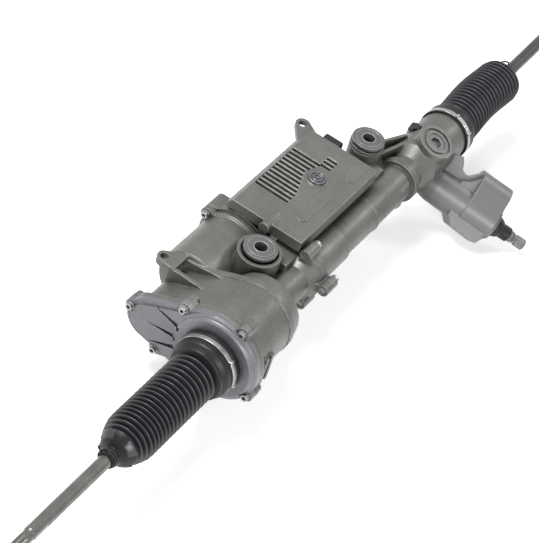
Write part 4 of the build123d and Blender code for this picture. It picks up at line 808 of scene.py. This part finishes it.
# Input shaft -----------------------------------------------------------------

SPLINE_TEETH = 36
SPLINE_DEPTH = 0.45
SPLINES = (140.0, 172.5)


def splines(s, a, r):
    """Radius less SPLINE_DEPTH times a triangle wave of SPLINE_TEETH teeth, over the stations SPLINES."""
    teeth = SPLINE_DEPTH * np.abs(2 * ((a * SPLINE_TEETH / TAU) % 1.0) - 1)
    return r - teeth * smooth_step(np.minimum(s - SPLINES[0], SPLINES[1] - s) / 1.5)


shaft_profile = filled(softened([(47, 5.5), (66, 5.5), (66.2, 7.0), (154.6, 7.0), (155.2, 5.9), (159.8, 5.9),
                                 (160.4, 7.0), (171.4, 7.0), (173, 5.4)], 0.5), 1.5)
shaft = add_mesh("splined_shaft", *turned(*shaft_profile, PINION_ORIGIN, PINION_AXIS, 216, splines),
                 SHAFT_STEEL, "column", "machined_steel")
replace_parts(shaft, "input_shaft")
gaiter_profile = filled(softened([(128.1, 7.4), (128.1, 13.4), (131.4, 13.5), (132.4, 12.4), (134.4, 12.2),
                                  (138.2, 9.4), (141, 9.2), (142.2, 9.5), (144.4, 9.2), (148.2, 9.3),
                                  (149.9, 8.6), (149.9, 7.4)], 0.6), 0.8)
gaiter = add_mesh("shaft_gaiter", *turned(*gaiter_profile, PINION_ORIGIN, PINION_AXIS, 72, closed_rows=True),
                  MATERIALS["rubber"], "housing", "rubber")
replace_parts(gaiter, "dust_boot")


# Stage -----------------------------------------------------------------------

CAMERA_PLACE = (-1.622882, -0.599333, 1.638111)
CAMERA_RIGHT = (0.5313, -0.8133, 0.2374)
CAMERA_BACK = (-0.6817, -0.2440, 0.6897)
CAMERA_LENS = 144.914
FLOOR_HALF = 6.0
FLOOR_PAINT = 0.9
FLOOR_FADE = (1.0, 2.4)
WHITE = (1, 1, 1, 1)


def camera():
    """The camera, turned so that its right and back directions are the given ones made square."""
    data = bpy.data.cameras.new("camera")
    data.lens = CAMERA_LENS
    data.sensor_width = 36
    data.clip_end = 20
    eye = bpy.data.objects.new("camera", data)
    bpy.context.scene.collection.objects.link(eye)
    right = Vector(CAMERA_RIGHT).normalized()
    back = Vector(CAMERA_BACK)
    back = (back - right * back.dot(right)).normalized()
    turn = Matrix((right, back.cross(right), back)).transposed().to_4x4()
    eye.matrix_world = Matrix.Translation(CAMERA_PLACE) @ turn
    bpy.context.scene.camera = eye


def area_light(name, place, aim, size, watts):
    """Soft square light at place, turned to aim."""
    data = bpy.data.lights.new(name, "AREA")
    data.size = size
    data.energy = watts
    light = bpy.data.objects.new(name, data)
    bpy.context.scene.collection.objects.link(light)
    light.location = place
    light.rotation_euler = (Vector(aim) - Vector(place)).to_track_quat("-Z", "Y").to_euler()


def seen_rays(nodes, links):
    """1 for camera, glossy and transmission rays, and 0 for the rays that carry light to the object."""
    path = nodes.new("ShaderNodeLightPath")
    seen = math_node(nodes, links, "MAXIMUM", path.outputs["Is Camera Ray"], path.outputs["Is Glossy Ray"])
    return math_node(nodes, links, "MAXIMUM", seen, path.outputs["Is Transmission Ray"])


def world(strength):
    """White to the camera, to reflections and through glass, and of the given strength as a light."""
    scene_world = bpy.data.worlds.new("studio")
    scene_world.use_nodes = True
    bpy.context.scene.world = scene_world
    nodes, links = scene_world.node_tree.nodes, scene_world.node_tree.links
    shade = nodes["Background"]
    shade.inputs["Color"].default_value = WHITE
    shade.inputs["Strength"].default_value = strength
    white = nodes.new("ShaderNodeBackground")
    white.inputs["Color"].default_value = WHITE
    white.inputs["Strength"].default_value = 1.0
    mix = nodes.new("ShaderNodeMixShader")
    links.new(seen_rays(nodes, links), mix.inputs[0])
    links.new(shade.outputs[0], mix.inputs[1])
    links.new(white.outputs[0], mix.inputs[2])
    links.new(mix.outputs[0], nodes["World Output"].inputs["Surface"])


def floor(lift):
    """Plain pale floor under the lowest point.

    lift brightens it to white for the rays that see it. The lamps fade over the distances FLOOR_FADE, so
    there the paint goes and the lift grows to 1.
    """
    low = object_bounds()[0][2]
    size = FLOOR_HALF
    mesh = bpy.data.meshes.new("floor")
    mesh.from_pydata([(-size, -size, low), (size, -size, low), (size, size, low), (-size, size, low)], [],
                     [(0, 1, 2, 3)])
    material = bpy.data.materials.new("floor")
    material.use_nodes = True
    nodes, links = material.node_tree.nodes, material.node_tree.links
    shader = nodes["Principled BSDF"]
    shader.inputs["Roughness"].default_value = 1.0
    shader.inputs["Specular IOR Level"].default_value = 0.0
    shader.inputs["Emission Color"].default_value = WHITE
    coordinates = nodes.new("ShaderNodeTexCoord")
    reach = nodes.new("ShaderNodeVectorMath")
    reach.operation = "LENGTH"
    links.new(coordinates.outputs["Object"], reach.inputs[0])
    far = spread_node(nodes, links, reach.outputs["Value"], *FLOOR_FADE)
    paint = tinted(nodes, links, far, (FLOOR_PAINT,) * 3, (0.0, 0.0, 0.0))
    links.new(paint, shader.inputs["Base Color"])
    lifted = mix_node(nodes, links, far, lift, 1.0)
    glow = math_node(nodes, links, "MULTIPLY", seen_rays(nodes, links), lifted)
    links.new(glow, shader.inputs["Emission Strength"])
    mesh.materials.append(material)
    ground = bpy.data.objects.new("floor", mesh)
    bpy.context.scene.collection.objects.link(ground)
    ground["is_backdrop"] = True


camera()
world(0.2)
floor(0.5)
area_light("key", (-0.3, 0.9, 2.2), (0.1, 0, 0), 1.0, 70)
area_light("front", (-1.7, -1.7, 1.1), (0.0, 0, 0), 0.8, 38)
area_light("side", (1.7, -0.9, 1.5), (0.0, 0, 0), 0.5, 9)
bpy.context.scene.view_settings.view_transform = "Standard"
